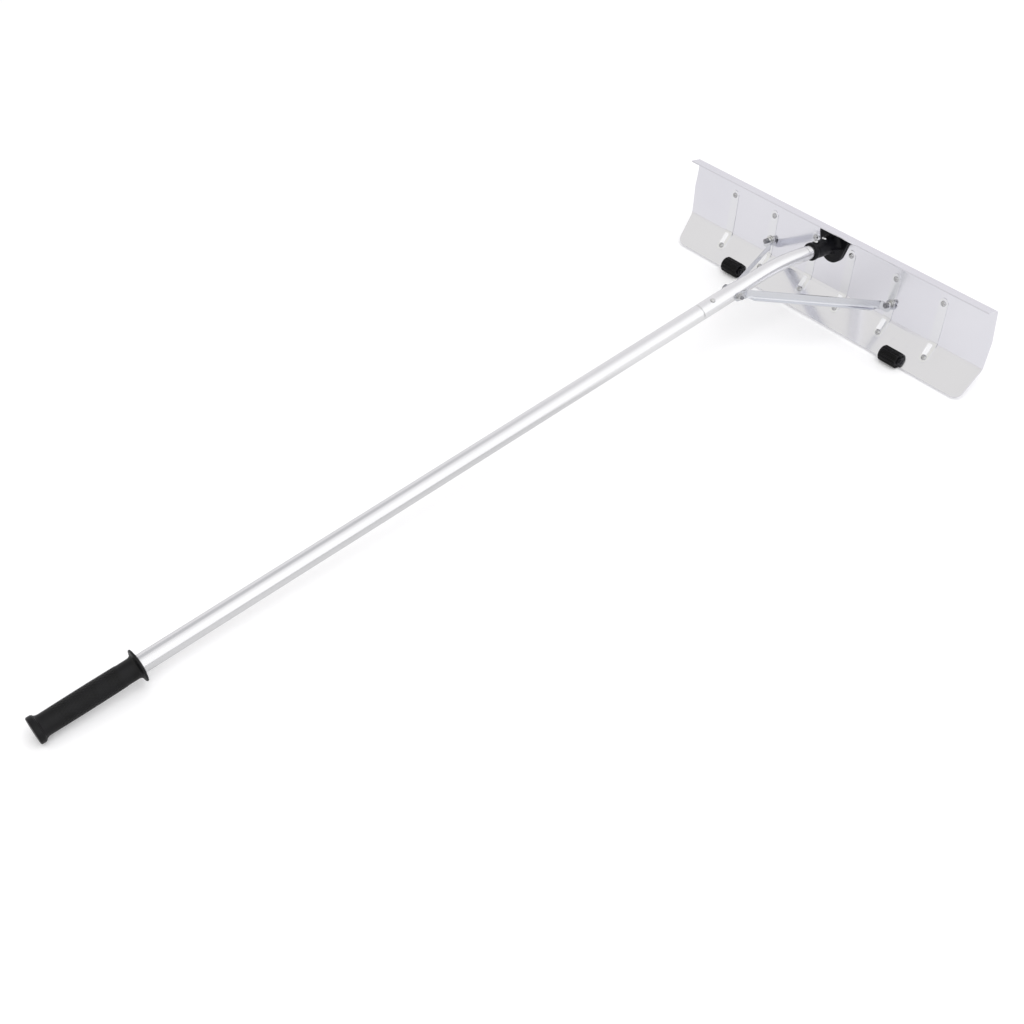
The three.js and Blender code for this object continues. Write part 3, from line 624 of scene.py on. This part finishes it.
def rivets():
    out = STRAP_T + RIVET_LIFT
    for i, x in enumerate(STRAP_X, 1):
        top = [rivet_shell(on_panel(x, TOP_RIVET_Z, out), TO_GRIP),
               tail_shell(on_panel(x, TOP_RIVET_Z, -SHEET), -TO_GRIP)]
        low = [rivet_shell(on_lip(x, LIP_RIVET_S, out), LIP_NORMAL),
               tail_shell(on_lip(x, LIP_RIVET_S, -SHEET), -LIP_NORMAL)]
        put(f"rivet_panel_{i}", top, RIVET_METAL, [f"panel_rivet_{i}"], sharp=50)
        put(f"rivet_lip_{i}", low, RIVET_METAL, [f"lip_rivet_{i}"], sharp=50)


# ---------------------------------------------------------------- socket bracket


def plate_outline():
    """(x, z) of the socket's plate: a straight top with rounded corners over a round lower end."""
    top, shoulder, curve_middle = -3.2, -14, -33.9
    points = [vec(-PLATE_HALF_W, top, 0), vec(PLATE_HALF_W, top, 0), vec(PLATE_HALF_W, shoulder, 0)]
    points += [vec(PLATE_CURVE_R * math.cos(a), curve_middle + PLATE_CURVE_R * math.sin(a), 0)
               for a in (math.radians(-22 - 136 * i / 24) for i in range(25))]
    points += [vec(-PLATE_HALF_W, shoulder, 0)]
    path = []
    n = len(points)
    for i, b in enumerate(points):
        if i in (0, 1, 2, n - 1):
            path += round_corner(points[i - 1], b, points[(i + 1) % n], 3.0, 5)
        else:
            path.append(b)
    return [(p.x, p.y) for p in path]


def socket_bracket():
    def at(y, up=0.0):
        return vec(0, y, SOCKET_Z + up)

    def plate_face(depth):
        return [on_panel(x, z, GAP + depth) for x, z in plate_outline()]

    foot = [(0, 3.0), (SOCKET_R + SKIRT_FLARE, 3.0)]
    foot += [(SOCKET_R + SKIRT_FLARE * (1 - math.sin(a)), 4.2 + 9 * (1 - math.cos(a)))
             for a in (math.pi / 2 * i / 8 for i in range(9))]
    barrel = [(SOCKET_R - 0.05, 13), (SOCKET_R, 48), (SOCKET_R + 0.9, 49.5), (SOCKET_R + 0.9, 54.5),
              (NECK_R + 0.35, 54.5), (NECK_R + 0.35, 12), (0, 12), (0, 3.0)]
    shells = [
        prism(plate_face(0), plate_face(PLATE_T)),
        lathe(foot + barrel, vec(0, 0, SOCKET_Z), TO_GRIP, 64),
        box_shell(at(-31, SOCKET_R - 1.4), (4.6, 34, 5), (X_AXIS, vec(0, 1, 0), vec(0, 0, 1))),
    ]
    boss = [(0, 11.5), (4.9, 11.5), (4.7, SOCKET_R + 1.5), (0, SOCKET_R + 1.5)]
    shells += [lathe(boss, at(y), vec(0, 0, 1), 32) for y in SOCKET_SCREW_Y]
    for side in (-1, 1):
        corners = [(SOCKET_R - 1, -4), (SOCKET_R + 11, -4), (SOCKET_R - 1, -26)]
        rib = [vec(side * x, y, SOCKET_Z + RIB_T / 2) for x, y in corners]
        shells.append(prism(rib, [p - vec(0, 0, RIB_T) for p in rib]))
    obj = put("socket_moulding", shells, SOCKET_PLASTIC, ["socket_bracket"])
    mod = obj.modifiers.new("skin", "REMESH")
    mod.mode = "VOXEL"
    mod.voxel_size = 0.0005
    mod.use_smooth_shade = True
    smooth = obj.modifiers.new("soft", "SMOOTH")
    smooth.factor = 0.5
    smooth.iterations = 5
    bake(obj)


def screw_shell(at, axis, head_r, head_h, shank_r, length):
    """Pan head and a plain shank; screws() cuts the cross recess."""
    head = [(0, -length), (shank_r * 0.5, -length), (shank_r, -length + 1.2), (shank_r, -0.05),
            (head_r - 0.25, -0.05), (head_r, 0.2), (head_r, head_h * 0.35)]
    head += [(head_r * (0.45 + 0.55 * math.cos(a)), head_h * (0.35 + 0.65 * math.sin(a)))
             for a in map(math.radians, (20, 40, 60, 80))]
    return lathe(head + [(0, head_h)], at, axis, 40)


def cut_recess(obj, at, axis, size, depth):
    """Cuts a cross into a screw head, one bar after the other."""
    side, up = frame_of(axis)
    middle = at - axis * (depth / 2 - 1.0)
    thin = size * 0.24
    for width, height in ((size, thin), (thin, size)):
        cut(obj, [box_shell(middle, (width, height, depth + 2), (side, up, axis))])


def screws():
    up = vec(0, 0, 1)
    for i, y in enumerate(SOCKET_SCREW_Y, 1):
        pos = vec(0, y, SOCKET_Z + SOCKET_R + 1.6 + GAP)
        shell = screw_shell(pos, up, 3.9, 2.4, 1.6, 8.6)
        obj = put(f"screw_socket_{i}", [shell], ZINC, [f"socket_screw_{i}"], sharp=45)
        cut_recess(obj, pos + up * 2.4, up, 3.6, 1.3)
    for i, (x, z) in enumerate(PLATE_SCREWS, 1):
        pos = on_panel(x, z, -SHEET - GAP)
        shell = screw_shell(pos, -TO_GRIP, 4.0, 2.2, 1.5, 5.4)
        obj = put(f"screw_plate_{i}", [shell], ZINC, [f"plate_screw_{i}"], sharp=45)
        cut_recess(obj, pos - TO_GRIP * 2.2, -TO_GRIP, 3.6, 1.2)


# ---------------------------------------------------------------- tubes, button, grip


def curved_stations():
    """(centre, angle, outer radius) from the joint to the tip inside the socket."""
    corner_y = POLE_START.y + (SOCKET_Z - POLE_START.z) / math.tan(POLE_ANGLE)
    reach = BEND_R * math.tan(POLE_ANGLE / 2)
    first = [(0.45, -1.1), (0.5, -0.25), (0.8, 0)]
    stations = [(on_pole(JOINT_S - inset), POLE_ANGLE, TUBE_R + drop) for inset, drop in first]
    stations += [(on_pole(s), POLE_ANGLE, TUBE_R) for s in (88, 80, 70, 60, 50, 42)]
    bend_s = reach - (POLE_START.y - corner_y) / -math.cos(POLE_ANGLE)
    for i in range(13):
        t = i / 12
        s = DRAW_S + (bend_s - DRAW_S) * t
        ease = t * t * (3 - 2 * t) * 0.5 + t * 0.5
        stations.append((on_pole(s), POLE_ANGLE, TUBE_R + (BEND_TUBE_R - TUBE_R) * ease))
    for i in range(1, 25):
        angle = POLE_ANGLE * (1 - i / 24)
        y = corner_y + reach - BEND_R * math.sin(angle)
        z = SOCKET_Z - BEND_R * (1 - math.cos(angle))
        stations.append((vec(0, y, z), angle, BEND_TUBE_R))
    neck = [(NECK_Y - 1.1, BEND_TUBE_R), (NECK_Y - 0.75, BEND_TUBE_R - 0.08), (NECK_Y - 0.2, NECK_R + 0.1),
            (NECK_Y + 0.2, NECK_R), (SOCKET_MOUTH_Y, NECK_R), (TUBE_TIP_Y, NECK_R)]
    return stations + [(vec(0, y, SOCKET_Z), 0, r) for y, r in neck]


def tube_shell(stations, wall, sides):
    """Hollow tube through (centre, angle, outer radius) stations in the plane x = 0."""
    layers = [[], []]
    for at, angle, outer in stations:
        for layer, radius in zip(layers, (outer, min(outer, TUBE_R) - wall)):
            layer.append([
                vec(radius * math.sin(a), at.y - radius * math.cos(a) * math.sin(angle),
                    at.z + radius * math.cos(a) * math.cos(angle))
                for a in turn_angles(sides)
            ])
    return grid(layers[0] + layers[1][::-1], True, True)


def hole_shell(at, axis, radius, start, end):
    """Round cutter from start to end along an axis."""
    return lathe([(0, start), (radius, start), (radius, end), (0, end)], at, axis, 40)


def curved_tube():
    shell = tube_shell(curved_stations(), TUBE_WALL, 72)
    obj = put("bent_tube", [shell], TUBE_METAL, ["curved_tube"])
    pivot = on_pole(PIVOT_S)
    cut(obj, [hole_shell(on_pole(BUTTON_S), BUTTON_DIR, BUTTON_R + 0.65, 8, 20),
              hole_shell(pivot, X_AXIS, 3.3, -20, 20)])


def pole():
    plug_r = TUBE_R - TUBE_WALL - GAP
    start = JOINT_S + GAP
    profile = [
        (plug_r - 1.3, PLUG_S), (plug_r - 0.5, PLUG_S), (plug_r, PLUG_S + 2), (plug_r, start),
        (TUBE_R - 1.1, start + 0.3), (TUBE_R - 0.25, start + 0.35), (TUBE_R, start + 0.65),
    ]
    profile += [(TUBE_R, start + 0.65 + (POLE_END_S - start - 0.65) * i / 16) for i in range(1, 17)]
    profile += [(TUBE_R - TUBE_WALL, POLE_END_S), (TUBE_R - TUBE_WALL, start + 6), (plug_r - 1.3, start + 2),
                (plug_r - 1.3, PLUG_S)]
    obj = put("pole_tube", [lathe(profile, on_pole(0), POLE_DIR, 72)], TUBE_METAL, ["pole"])
    cut(obj, [hole_shell(on_pole(BUTTON_S), BUTTON_DIR, BUTTON_R + 0.2, 8, 20)])


def snap_button():
    profile = [(0, 7), (BUTTON_R + 0.7, 7), (BUTTON_R + 0.8, 7.1), (BUTTON_R + 0.8, 7.8), (BUTTON_R, 7.8)]
    profile += [(BUTTON_R, 12.9)]
    profile += arc((BUTTON_R - 1.3, 12.95), 1.3, 10, 90, 8) + [(0, 14.4)]
    shell = lathe(profile, on_pole(BUTTON_S), BUTTON_DIR, 40)
    put("button_pin", [shell], ZINC, ["snap_button"], body="button")


def grip_profile():
    """(radius, s) of the grip's skin, then the bore that holds the tube."""
    bore, end = TUBE_R + GAP, GRIP_END_S
    points = [(bore, GRIP_S), (15.2, GRIP_S), (15.9, GRIP_S + 0.3), (17.2, GRIP_S + 1.2)]
    points += [(GRIP_FLANGE_R, GRIP_S + 1.5)] + arc((GRIP_FLANGE_R, GRIP_S + 3.1), 1.5, -80, 80, 8)
    points += [(20.6, GRIP_S + 4.9), (18.6, GRIP_S + 5.5)]
    points += [(14.7 + 3.9 * (1 - math.sin(a)), GRIP_S + 5.5 + 5.5 * (1 - math.cos(a)))
               for a in (math.pi / 2 * i / 7 for i in range(1, 8))]
    points += [(GRIP_WAIST_R, GRIP_S + 18), (GRIP_WAIST_R, GRIP_S + 26), (14.75, GRIP_S + 27.2)]
    points += [(GRIP_R, GRIP_S + 28.2)]
    body = [GRIP_S + 29 + GRIP_RING * i for i in range(int((end - 17.5 - GRIP_S - 29) / GRIP_RING))]
    points += [(grip_radius(s), s) for s in body]
    points += [(14.85 + 3.2 * (1 - math.cos(a)), end - 16.2 + 7.4 * math.sin(a))
               for a in (math.pi / 2 * i / 7 for i in range(8))]
    points += arc((17.6, end - 6.6), 1.4, -60, 0, 5) + [(19.0, end - 3.2)]
    points += arc((17.2, end - 1.8), 1.8, 0, 90, 6)
    points += [(8, end), (0, end), (0, POLE_END_S + 1), (bore, POLE_END_S + 1), (bore, GRIP_S)]
    return points


def grip_radius(s):
    """Slight swell and taper of the grip's body."""
    t = (s - GRIP_S - 28) / (GRIP_END_S - 17 - GRIP_S - 28)
    return GRIP_R + 0.3 * math.sin(math.pi * t) - 0.2 * t


def dimple(s, angle):
    """Depth of the dimple pattern at a place on the grip."""
    low, high = GRIP_S + 34, GRIP_END_S - 30
    row_pitch = DIMPLE_PITCH * 0.86
    row = round((s - low) / row_pitch)
    centre_s = low + row * row_pitch
    if row < 0 or centre_s > high:
        return 0.0
    step = 2 * math.pi / DIMPLE_ROWS
    shift = 0.5 * step * (row % 2)
    centre_a = round((angle - shift) / step) * step + shift
    d = math.hypot(s - centre_s, (angle - centre_a) * (GRIP_R + 0.15))
    return DIMPLE_DEPTH * math.cos(d / DIMPLE_R * math.pi / 2) ** 0.7 if d < DIMPLE_R else 0.0


def grip():
    side, up = frame_of(POLE_DIR)
    rows = []
    for r, s in grip_profile()[:-1]:
        row = []
        for a in turn_angles(220):
            sunk = r - dimple(s, a) if r > TUBE_R + 1 else r
            row.append(on_pole(s) + (side * math.cos(a) + up * math.sin(a)) * sunk)
        rows.append(row)
    put("grip_sleeve", [grid(rows, True, True)], RUBBER, ["grip"], sharp=60)


# ---------------------------------------------------------------- braces and their bolts


def angle_section(high, flange):
    """Points down the web, round the inside corner and out along the lower flange, evenly spaced."""
    r = min(2.8, flange)
    bend = arc((r, r - high), r, 180, 270, 6) if flange > 0.1 else [(0, -high)]
    outline = [(0, high)] + bend + ([(flange, -high)] if flange > r + 0.1 else [])
    flat = resample([vec(0, u, v) for u, v in outline], 0.4)
    lengths = distances(flat)
    steps = 32
    return [point_along(flat, lengths, lengths[-1] * i / steps)[0] for i in range(steps + 1)]


def brace(side):
    sign = SIGN[side]
    pivot = on_pole(PIVOT_S) - vec(0, 0, BRACE_DROP)
    x0 = TUBE_R + GAP + BRACE_T / 2
    half = BRACE_H / 2
    far_z = BRACE_BLADE_Z - BRACE_FAR_DROP
    points = [vec(x0, pivot.y - half, pivot.z), vec(x0, pivot.y + BRACE_NEAR_TAB, pivot.z),
              vec(BRACE_X - BRACE_FAR_TAB, BRACE_BLADE_Y, far_z), vec(BRACE_X + half, BRACE_BLADE_Y, far_z)]
    path = resample(rounded_path(points, BRACE_BEND, 6), 5)
    lengths = distances(path)
    total = lengths[-1]
    ends = [half * (1 - math.cos(math.pi / 2 * i / 9)) for i in range(10)]
    marks = sorted(set(ends) | {total - s for s in ends} | {s for s in lengths if half < s < total - half})
    rows = []
    for s in marks:
        p, k = point_along(path, lengths, s)
        d = path[min(k + 2, len(path) - 1)] - path[max(k - 1, 0)]
        across = vec(d.y, -d.x, 0).normalized()
        into = max(0.0, half - s, half - (total - s))
        high = max(0.05, math.sqrt(max(0.0, half * half - into * into)))
        rise = min(1.0, max(0.0, min(s - 28, total - 25 - s) / 8))
        rise = rise * rise * (3 - 2 * rise)
        section = angle_section(high - 0.5 * rise, BRACE_FLANGE * rise)
        row = [p + across * q.y + vec(0, 0, q.z) for q in section]
        rows.append([vec(sign * q.x, q.y, q.z) for q in row])
    obj = put(f"brace_bar_{side}", [grid(rows)], BRACE_METAL, [f"brace_{side}"])
    face_to(obj, vec(sign, -1, 0))
    thicken(obj, BRACE_T, 0)
    soften(obj, 0.35, 2, 50)


def hex_shell(at, axis, flats, height, bore):
    """Hexagon with chamfered corners on both faces and a plain bore."""
    side, up = frame_of(axis)
    axis = axis.normalized()
    ring = flats / 2 * 1.02
    rows = []
    for level in ("bore0", "face0", "edge0", "edge1", "face1", "bore1"):
        row = []
        for a in turn_angles(48):
            hexagon = flats / 2 / math.cos((a + math.pi / 6) % (math.pi / 3) - math.pi / 6)
            drop = max(0.0, hexagon - ring) * 0.62
            r, h = {"bore0": (bore, 0), "face0": (min(ring, hexagon), 0), "edge0": (hexagon, drop),
                    "edge1": (hexagon, height - drop), "face1": (min(ring, hexagon), height),
                    "bore1": (bore, height)}[level]
            row.append(at + axis * h + (side * math.cos(a) + up * math.sin(a)) * r)
        rows.append(row)
    return grid(rows, True, True)


def washer_shell(at, axis, bore, outer, thickness):
    edge = 0.2
    profile = [(bore, 0), (outer - edge, 0), (outer, edge), (outer, thickness - edge),
               (outer - edge, thickness), (bore, thickness), (bore, 0)]
    return lathe(profile, at, axis, 56)


def bolt_shell(at, axis, shank_r, length, head_r, head_h):
    """Button head at +axis, shank with rolled thread turns at its end."""
    profile = [(0, -length), (shank_r - 0.5, -length), (shank_r, -length + 0.5)]
    profile += [(shank_r - (0.35 if i % 2 else 0), -length + 0.5 + 0.45 * i) for i in range(1, 24)]
    profile += [(shank_r, -length + 11.6), (shank_r, 0), (head_r - 0.2, 0), (head_r, 0.25), (head_r, 0.9)]
    profile += [(head_r * math.cos(a), 0.9 + (head_h - 0.9) * math.sin(a))
                for a in map(math.radians, (18, 36, 54, 72))]
    return lathe(profile + [(0, head_h)], at, axis, 40)


def pivot_hardware():
    pivot = on_pole(PIVOT_S)
    tab = TUBE_R + GAP + BRACE_T + GAP
    washer_t = 1.1

    def at(x):
        return vec(x, pivot.y, pivot.z)

    bolt = bolt_shell(at(-tab), -X_AXIS, PIVOT_R, 2 * tab + 8.2, 6.2, 2.8)
    washer = washer_shell(at(tab), X_AXIS, PIVOT_R + 0.3, 5.8, washer_t)
    nut = hex_shell(at(tab + washer_t + GAP), X_AXIS, HEX_FLATS, HEX_H, PIVOT_R + 0.2)
    put("pivot_screw", [bolt], DARK_STEEL, ["pivot_bolt"])
    put("pivot_ring", [washer], ZINC, ["pivot_washer"])
    put("pivot_hex", [nut], ZINC, ["pivot_nut"])


def brace_end(side):
    x = SIGN[side] * BRACE_X
    washer_y = on_panel(x, BRACE_BLADE_Z, STRAP_GAP + STRAP_T).y - GAP
    spacer_y = washer_y - BRACE_WASHER_T - GAP
    tab_face = BRACE_BLADE_Y - BRACE_T / 2 - GAP
    spacer_len = spacer_y - (BRACE_BLADE_Y + BRACE_T / 2 + GAP)
    head_y = panel_y(BRACE_BLADE_Z) + SHEET + GAP
    bore = 2.7

    def at(y):
        return vec(x, y, BRACE_BLADE_Z)

    bolt = bolt_shell(at(head_y), -TO_GRIP, 2.4, head_y - tab_face + 5.6, 5.4, 2.8)
    washer = washer_shell(at(washer_y), TO_GRIP, bore, 6.8, BRACE_WASHER_T)
    spacer = washer_shell(at(spacer_y), TO_GRIP, bore, 4.4, spacer_len)
    nut = hex_shell(at(tab_face), TO_GRIP, HEX_FLATS, HEX_H, bore - 0.1)
    put(f"brace_screw_{side}", [bolt], DARK_STEEL, [f"brace_bolt_{side}"])
    put(f"brace_ring_{side}", [washer], ZINC, [f"brace_washer_{side}"])
    put(f"brace_sleeve_{side}", [spacer], ZINC, [f"brace_spacer_{side}"])
    put(f"brace_hex_{side}", [nut], DARK_STEEL, [f"brace_nut_{side}"])


# ---------------------------------------------------------------- rollers


def rib_radius(angle):
    """Rounded ribs along the roller."""
    t = (angle * ROLLER_RIBS / (2 * math.pi) + 0.22) % 1.0
    rise = min(1.0, max(0.0, (0.34 - abs(t - 0.5)) / 0.12))
    return ROLLER_R - 1.5 * (1 - rise * rise * (3 - 2 * rise))


def roller(side):
    x0 = SIGN[side] * ROLLER_X
    end = ROLLER_HALF
    face = [(AXLE_R + 0.1, 1.0), (5.0, 1.0), (5.2, 1.2), (5.4, 2.2), (9.2, 2.2), (9.4, 1.2), (9.5, 0)]
    ribs = [(1.7, 0), (1.1, 0.25), (0.15, 1.6), (0.0, 2.1)]  # how far the ribs are rounded off at their ends
    half = [(r, None, inset - end) for r, inset in face] + [(None, drop, inset - end) for drop, inset in ribs]
    profile = half + [(r, drop, -x) for r, drop, x in reversed(half)]
    rows = []
    for plain_r, drop, x in profile:
        row = []
        for a in turn_angles(ROLLER_RIBS * 12):
            r = max(9.6, min(rib_radius(a), ROLLER_R - drop)) if plain_r is None else plain_r
            row.append(vec(x0 + x, ROLLER_AT.y + r * math.cos(a), ROLLER_AT.z + r * math.sin(a)))
        rows.append(row)
    put(f"roller_barrel_{side}", [grid(rows, True, True)], ROLLER_PLASTIC,
        [f"roller_{side}"], body=f"{side}_roller", sharp=35)


def slab(outline, x0, x1):
    """Closed (y, z) outline between two places along x."""
    front, back = ([vec(x, p.y, p.z) for p in outline] for x in (x0, x1))
    return prism(front, back)


def ear_outline():
    back = -SHEET - GAP
    eye = [ROLLER_AT + LIP_DIR * (EAR_R * math.cos(a)) + LIP_NORMAL * (EAR_R * math.sin(a))
           for a in (math.radians(110 - 190 * i / 14) for i in range(15))]
    start = [on_lip(0, YOKE_START_S, back - YOKE_BASE_T), on_lip(0, YOKE_START_S, back),
             on_lip(0, ROLLER_S - ROLLER_R + 0.5, back)]
    return start + eye + [on_lip(0, ROLLER_S - 8, back - 5)]


def roller_mount(side):
    """Yoke behind the lip, the roller's axle and the two rivets that hold the yoke."""
    x0 = SIGN[side] * ROLLER_X
    middle = vec(x0, ROLLER_AT.y, ROLLER_AT.z)
    back = -SHEET - GAP
    under = back - YOKE_BASE_T
    end = ROLLER_S - ROLLER_R - 3.4
    base = [on_lip(0, YOKE_START_S, back), on_lip(0, end, back), on_lip(0, end, under),
            on_lip(0, YOKE_START_S, under)]
    inner = EAR_OUT - EAR_T
    shells = [slab(base, x0 - inner, x0 + inner)]
    shells += [slab(ear_outline(), x0 + a, x0 + a + EAR_T) for a in (-EAR_OUT, inner)]
    obj = put(f"roller_yoke_{side}", shells, SOCKET_PLASTIC, [f"roller_bracket_{side}"])
    cut(obj, [hole_shell(middle, X_AXIS, AXLE_R + 0.12, -30, 30)])
    soften(obj, 0.4, 2, 45)
    tip = EAR_OUT + GAP
    axle_half = [(0, -tip - 1.2), (2.3, -tip - 1.2), (2.8, -tip - 0.8), (2.9, -tip), (AXLE_R, -tip)]
    axle = lathe(axle_half + [(r, -h) for r, h in reversed(axle_half)], middle, X_AXIS, 40)
    put(f"axle_pin_{side}", [axle], BLACK_STEEL, [f"roller_axle_{side}"])
    head = [(0, -0.3), (3.0, -0.3), (3.0, 0.02), (2.8, 0.08), (1.6, 0.12), (0, 0.12)]
    for i, x in enumerate((x0 - YOKE_RIVET_X, x0 + YOKE_RIVET_X), 1):
        shells = [lathe(head, on_lip(x, LIP_RIVET_S, 0.1), LIP_NORMAL, 40),
                  tail_shell(on_lip(x, LIP_RIVET_S, under), -LIP_NORMAL)]
        put(f"yoke_rivet_{side}_{i}", shells, SHEET_METAL, [f"bracket_rivet_{side}_{i}"], sharp=50)


# ---------------------------------------------------------------- floor, light, camera


def ray_share(tree, kind):
    """1 for rays of one kind and 0 for the others."""
    return tree.nodes.new("ShaderNodeLightPath").outputs[kind]


def mix_colours(tree, share, first, second):
    """First colour where share is 0 and second where it is 1; each is a colour or an output."""
    node = tree.nodes.new("ShaderNodeMix")
    node.data_type = "RGBA"
    tree.links.new(share, node.inputs["Factor"])
    for socket, value in (("A", first), ("B", second)):
        if isinstance(value, tuple):
            next(i for i in node.inputs if i.name == socket and i.type == "RGBA").default_value = value
        else:
            tree.links.new(value, next(i for i in node.inputs if i.name == socket and i.type == "RGBA"))
    return next(o for o in node.outputs if o.type == "RGBA")


def floor():
    """Pale flat floor. Metal sees it darker than the camera does, most of all beside the pole, where the
    darker colour is painted shade that only reflections show.
    """
    half, height = 30, -0.0004
    corners = [(x * half, y * half, height) for x, y in ((-1, -1), (1, -1), (1, 1), (-1, 1))]
    data = bpy.data.meshes.new("floor")
    data.from_pydata(corners, [], [[0, 1, 2, 3]])
    n = Nodes("studio_floor")
    n.tint(n.noise(1.5, detail=2), (0.91, 0.91, 0.915), (0.93, 0.93, 0.935))
    paper = n.shader.inputs["Base Color"].links[0].from_socket
    side = n.tree.nodes.new("ShaderNodeSeparateXYZ")
    n.link(n.place, side.inputs[0])
    # Painted shade seen only by metal: the floor is darker along the pole and towards +X.
    right = n.ramp(side.outputs["X"], 0.0, 1.0, -0.02, 0.4)
    pole_shade_mask = n.ramp(side.outputs["Y"], 1.0, 0.0, 0.24, 0.36)
    painted_pole_shade = mix_colours(n.tree, right, (0.64, 0.64, 0.645, 1), (0.46, 0.46, 0.47, 1))
    mirrored = mix_colours(n.tree, pole_shade_mask, (0.75, 0.75, 0.755, 1), painted_pole_shade)
    seen = mix_colours(n.tree, ray_share(n.tree, "Is Glossy Ray"), paper, mirrored)
    n.link(seen, n.shader.inputs["Base Color"])
    n.shader.inputs["Emission Color"].default_value = (1, 1, 1, 1)
    glow = n.ramp(ray_share(n.tree, "Is Camera Ray"), 0.0, 0.12, 0.0, 1.0)
    n.link(glow, n.shader.inputs["Emission Strength"])
    n.shader.inputs["Roughness"].default_value = 0.9
    n.shader.inputs["Specular IOR Level"].default_value = 0.1
    data.materials.append(n.material)
    obj = bpy.data.objects.new("floor", data)
    bpy.context.scene.collection.objects.link(obj)


def area_light(name, position, target, size, power, colour=(1, 1, 1)):
    data = bpy.data.lights.new(name, "AREA")
    data.shape = "RECTANGLE"
    data.size, data.size_y = size
    data.energy = power
    data.color = colour
    obj = bpy.data.objects.new(name, data)
    obj.location = position
    obj.rotation_euler = (Vector(target) - Vector(position)).to_track_quat("-Z", "Y").to_euler()
    obj.visible_glossy = False
    bpy.context.scene.collection.objects.link(obj)


def between(tree, value, low, high, soft=0.08):
    """1 while value lies between low and high, falling to 0 within soft."""
    edges = ((low - soft, low), (high + soft, high))
    return product(tree, *(map_range(tree, value, *edge).outputs["Result"] for edge in edges))


def world():
    """Soft room, brighter on the +X side, with two dark flags that draw the sheet's bends.

    The backdrop that the camera sees is even.
    """
    scene = bpy.context.scene
    scene.world = bpy.data.worlds.new("studio")
    scene.world.use_nodes = True
    tree = scene.world.node_tree
    split = tree.nodes.new("ShaderNodeSeparateXYZ")
    tree.links.new(tree.nodes.new("ShaderNodeTexCoord").outputs["Generated"], split.inputs[0])
    x, y, z = (split.outputs[axis] for axis in "XYZ")
    right = map_range(tree, x, -0.25, 0.65)
    right.interpolation_type = "SMOOTHSTEP"
    far = map_range(tree, y, -0.5, 0.1)
    dim = mix_colours(tree, far.outputs["Result"], (0.79, 0.785, 0.755, 1), (0.79, 0.78, 0.8, 1))
    room = mix_colours(tree, right.outputs["Result"], dim, (1.1, 1.1, 1.11, 1))
    above = product(tree, between(tree, x, -1.2, -0.25), between(tree, y, -0.3, 0.3),
                    between(tree, z, 0.65, 1.2))
    ahead = product(tree, between(tree, y, -1.2, -0.5), between(tree, z, -0.1, 0.1))
    glossy = ray_share(tree, "Is Glossy Ray")
    for flag, colour in ((above, (0.56, 0.56, 0.58, 1)), (ahead, (0.5, 0.5, 0.51, 1))):
        room = mix_colours(tree, product(tree, flag, glossy), room, colour)
    shown = mix_colours(tree, ray_share(tree, "Is Camera Ray"), room, (0.97, 0.97, 0.975, 1))
    tree.links.new(shown, tree.nodes["Background"].inputs["Color"])
    scene.view_settings.view_transform = "Standard"


def camera(anchor):
    data = bpy.data.cameras.new("view")
    data.lens = 51.408
    data.sensor_width = 36
    data.clip_start, data.clip_end = 0.05, 200
    obj = bpy.data.objects.new("view", data)
    bpy.context.scene.collection.objects.link(obj)
    forward = Vector((-0.60781, 0.4312, -0.66681)).normalized()
    up = Vector((-0.50104, 0.44322, 0.74332)).normalized()
    right = forward.cross(up)
    turn = Matrix((right, right.cross(forward), -forward)).transposed().to_4x4()
    obj.matrix_world = Matrix.Translation(anchor + Vector((1.2891, -1.5209, 1.3419))) @ turn
    bpy.context.scene.camera = obj


# ---------------------------------------------------------------- assembly

blade()
for number, place in enumerate(STRAP_X, 1):
    strap(number, place)
rivets()
socket_bracket()
screws()
curved_tube()
pole()
snap_button()
grip()
pivot_hardware()
for hand in ("left", "right"):
    brace(hand)
    brace_end(hand)
    roller(hand)
    roller_mount(hand)

spring = frame["nodes"]["button_spring"]
spring.data.materials.clear()
spring.data.materials.append(ZINC)

floor()
world()
ROLLER_MIDDLE = TO_ROW @ ROLLER_AT
area_light("key", ROLLER_MIDDLE + Vector((1.5, -1.0, 2.7)), ROLLER_MIDDLE + Vector((0, -0.5, 0)),
           (2.2, 2.2), 32)
camera(ROLLER_MIDDLE)
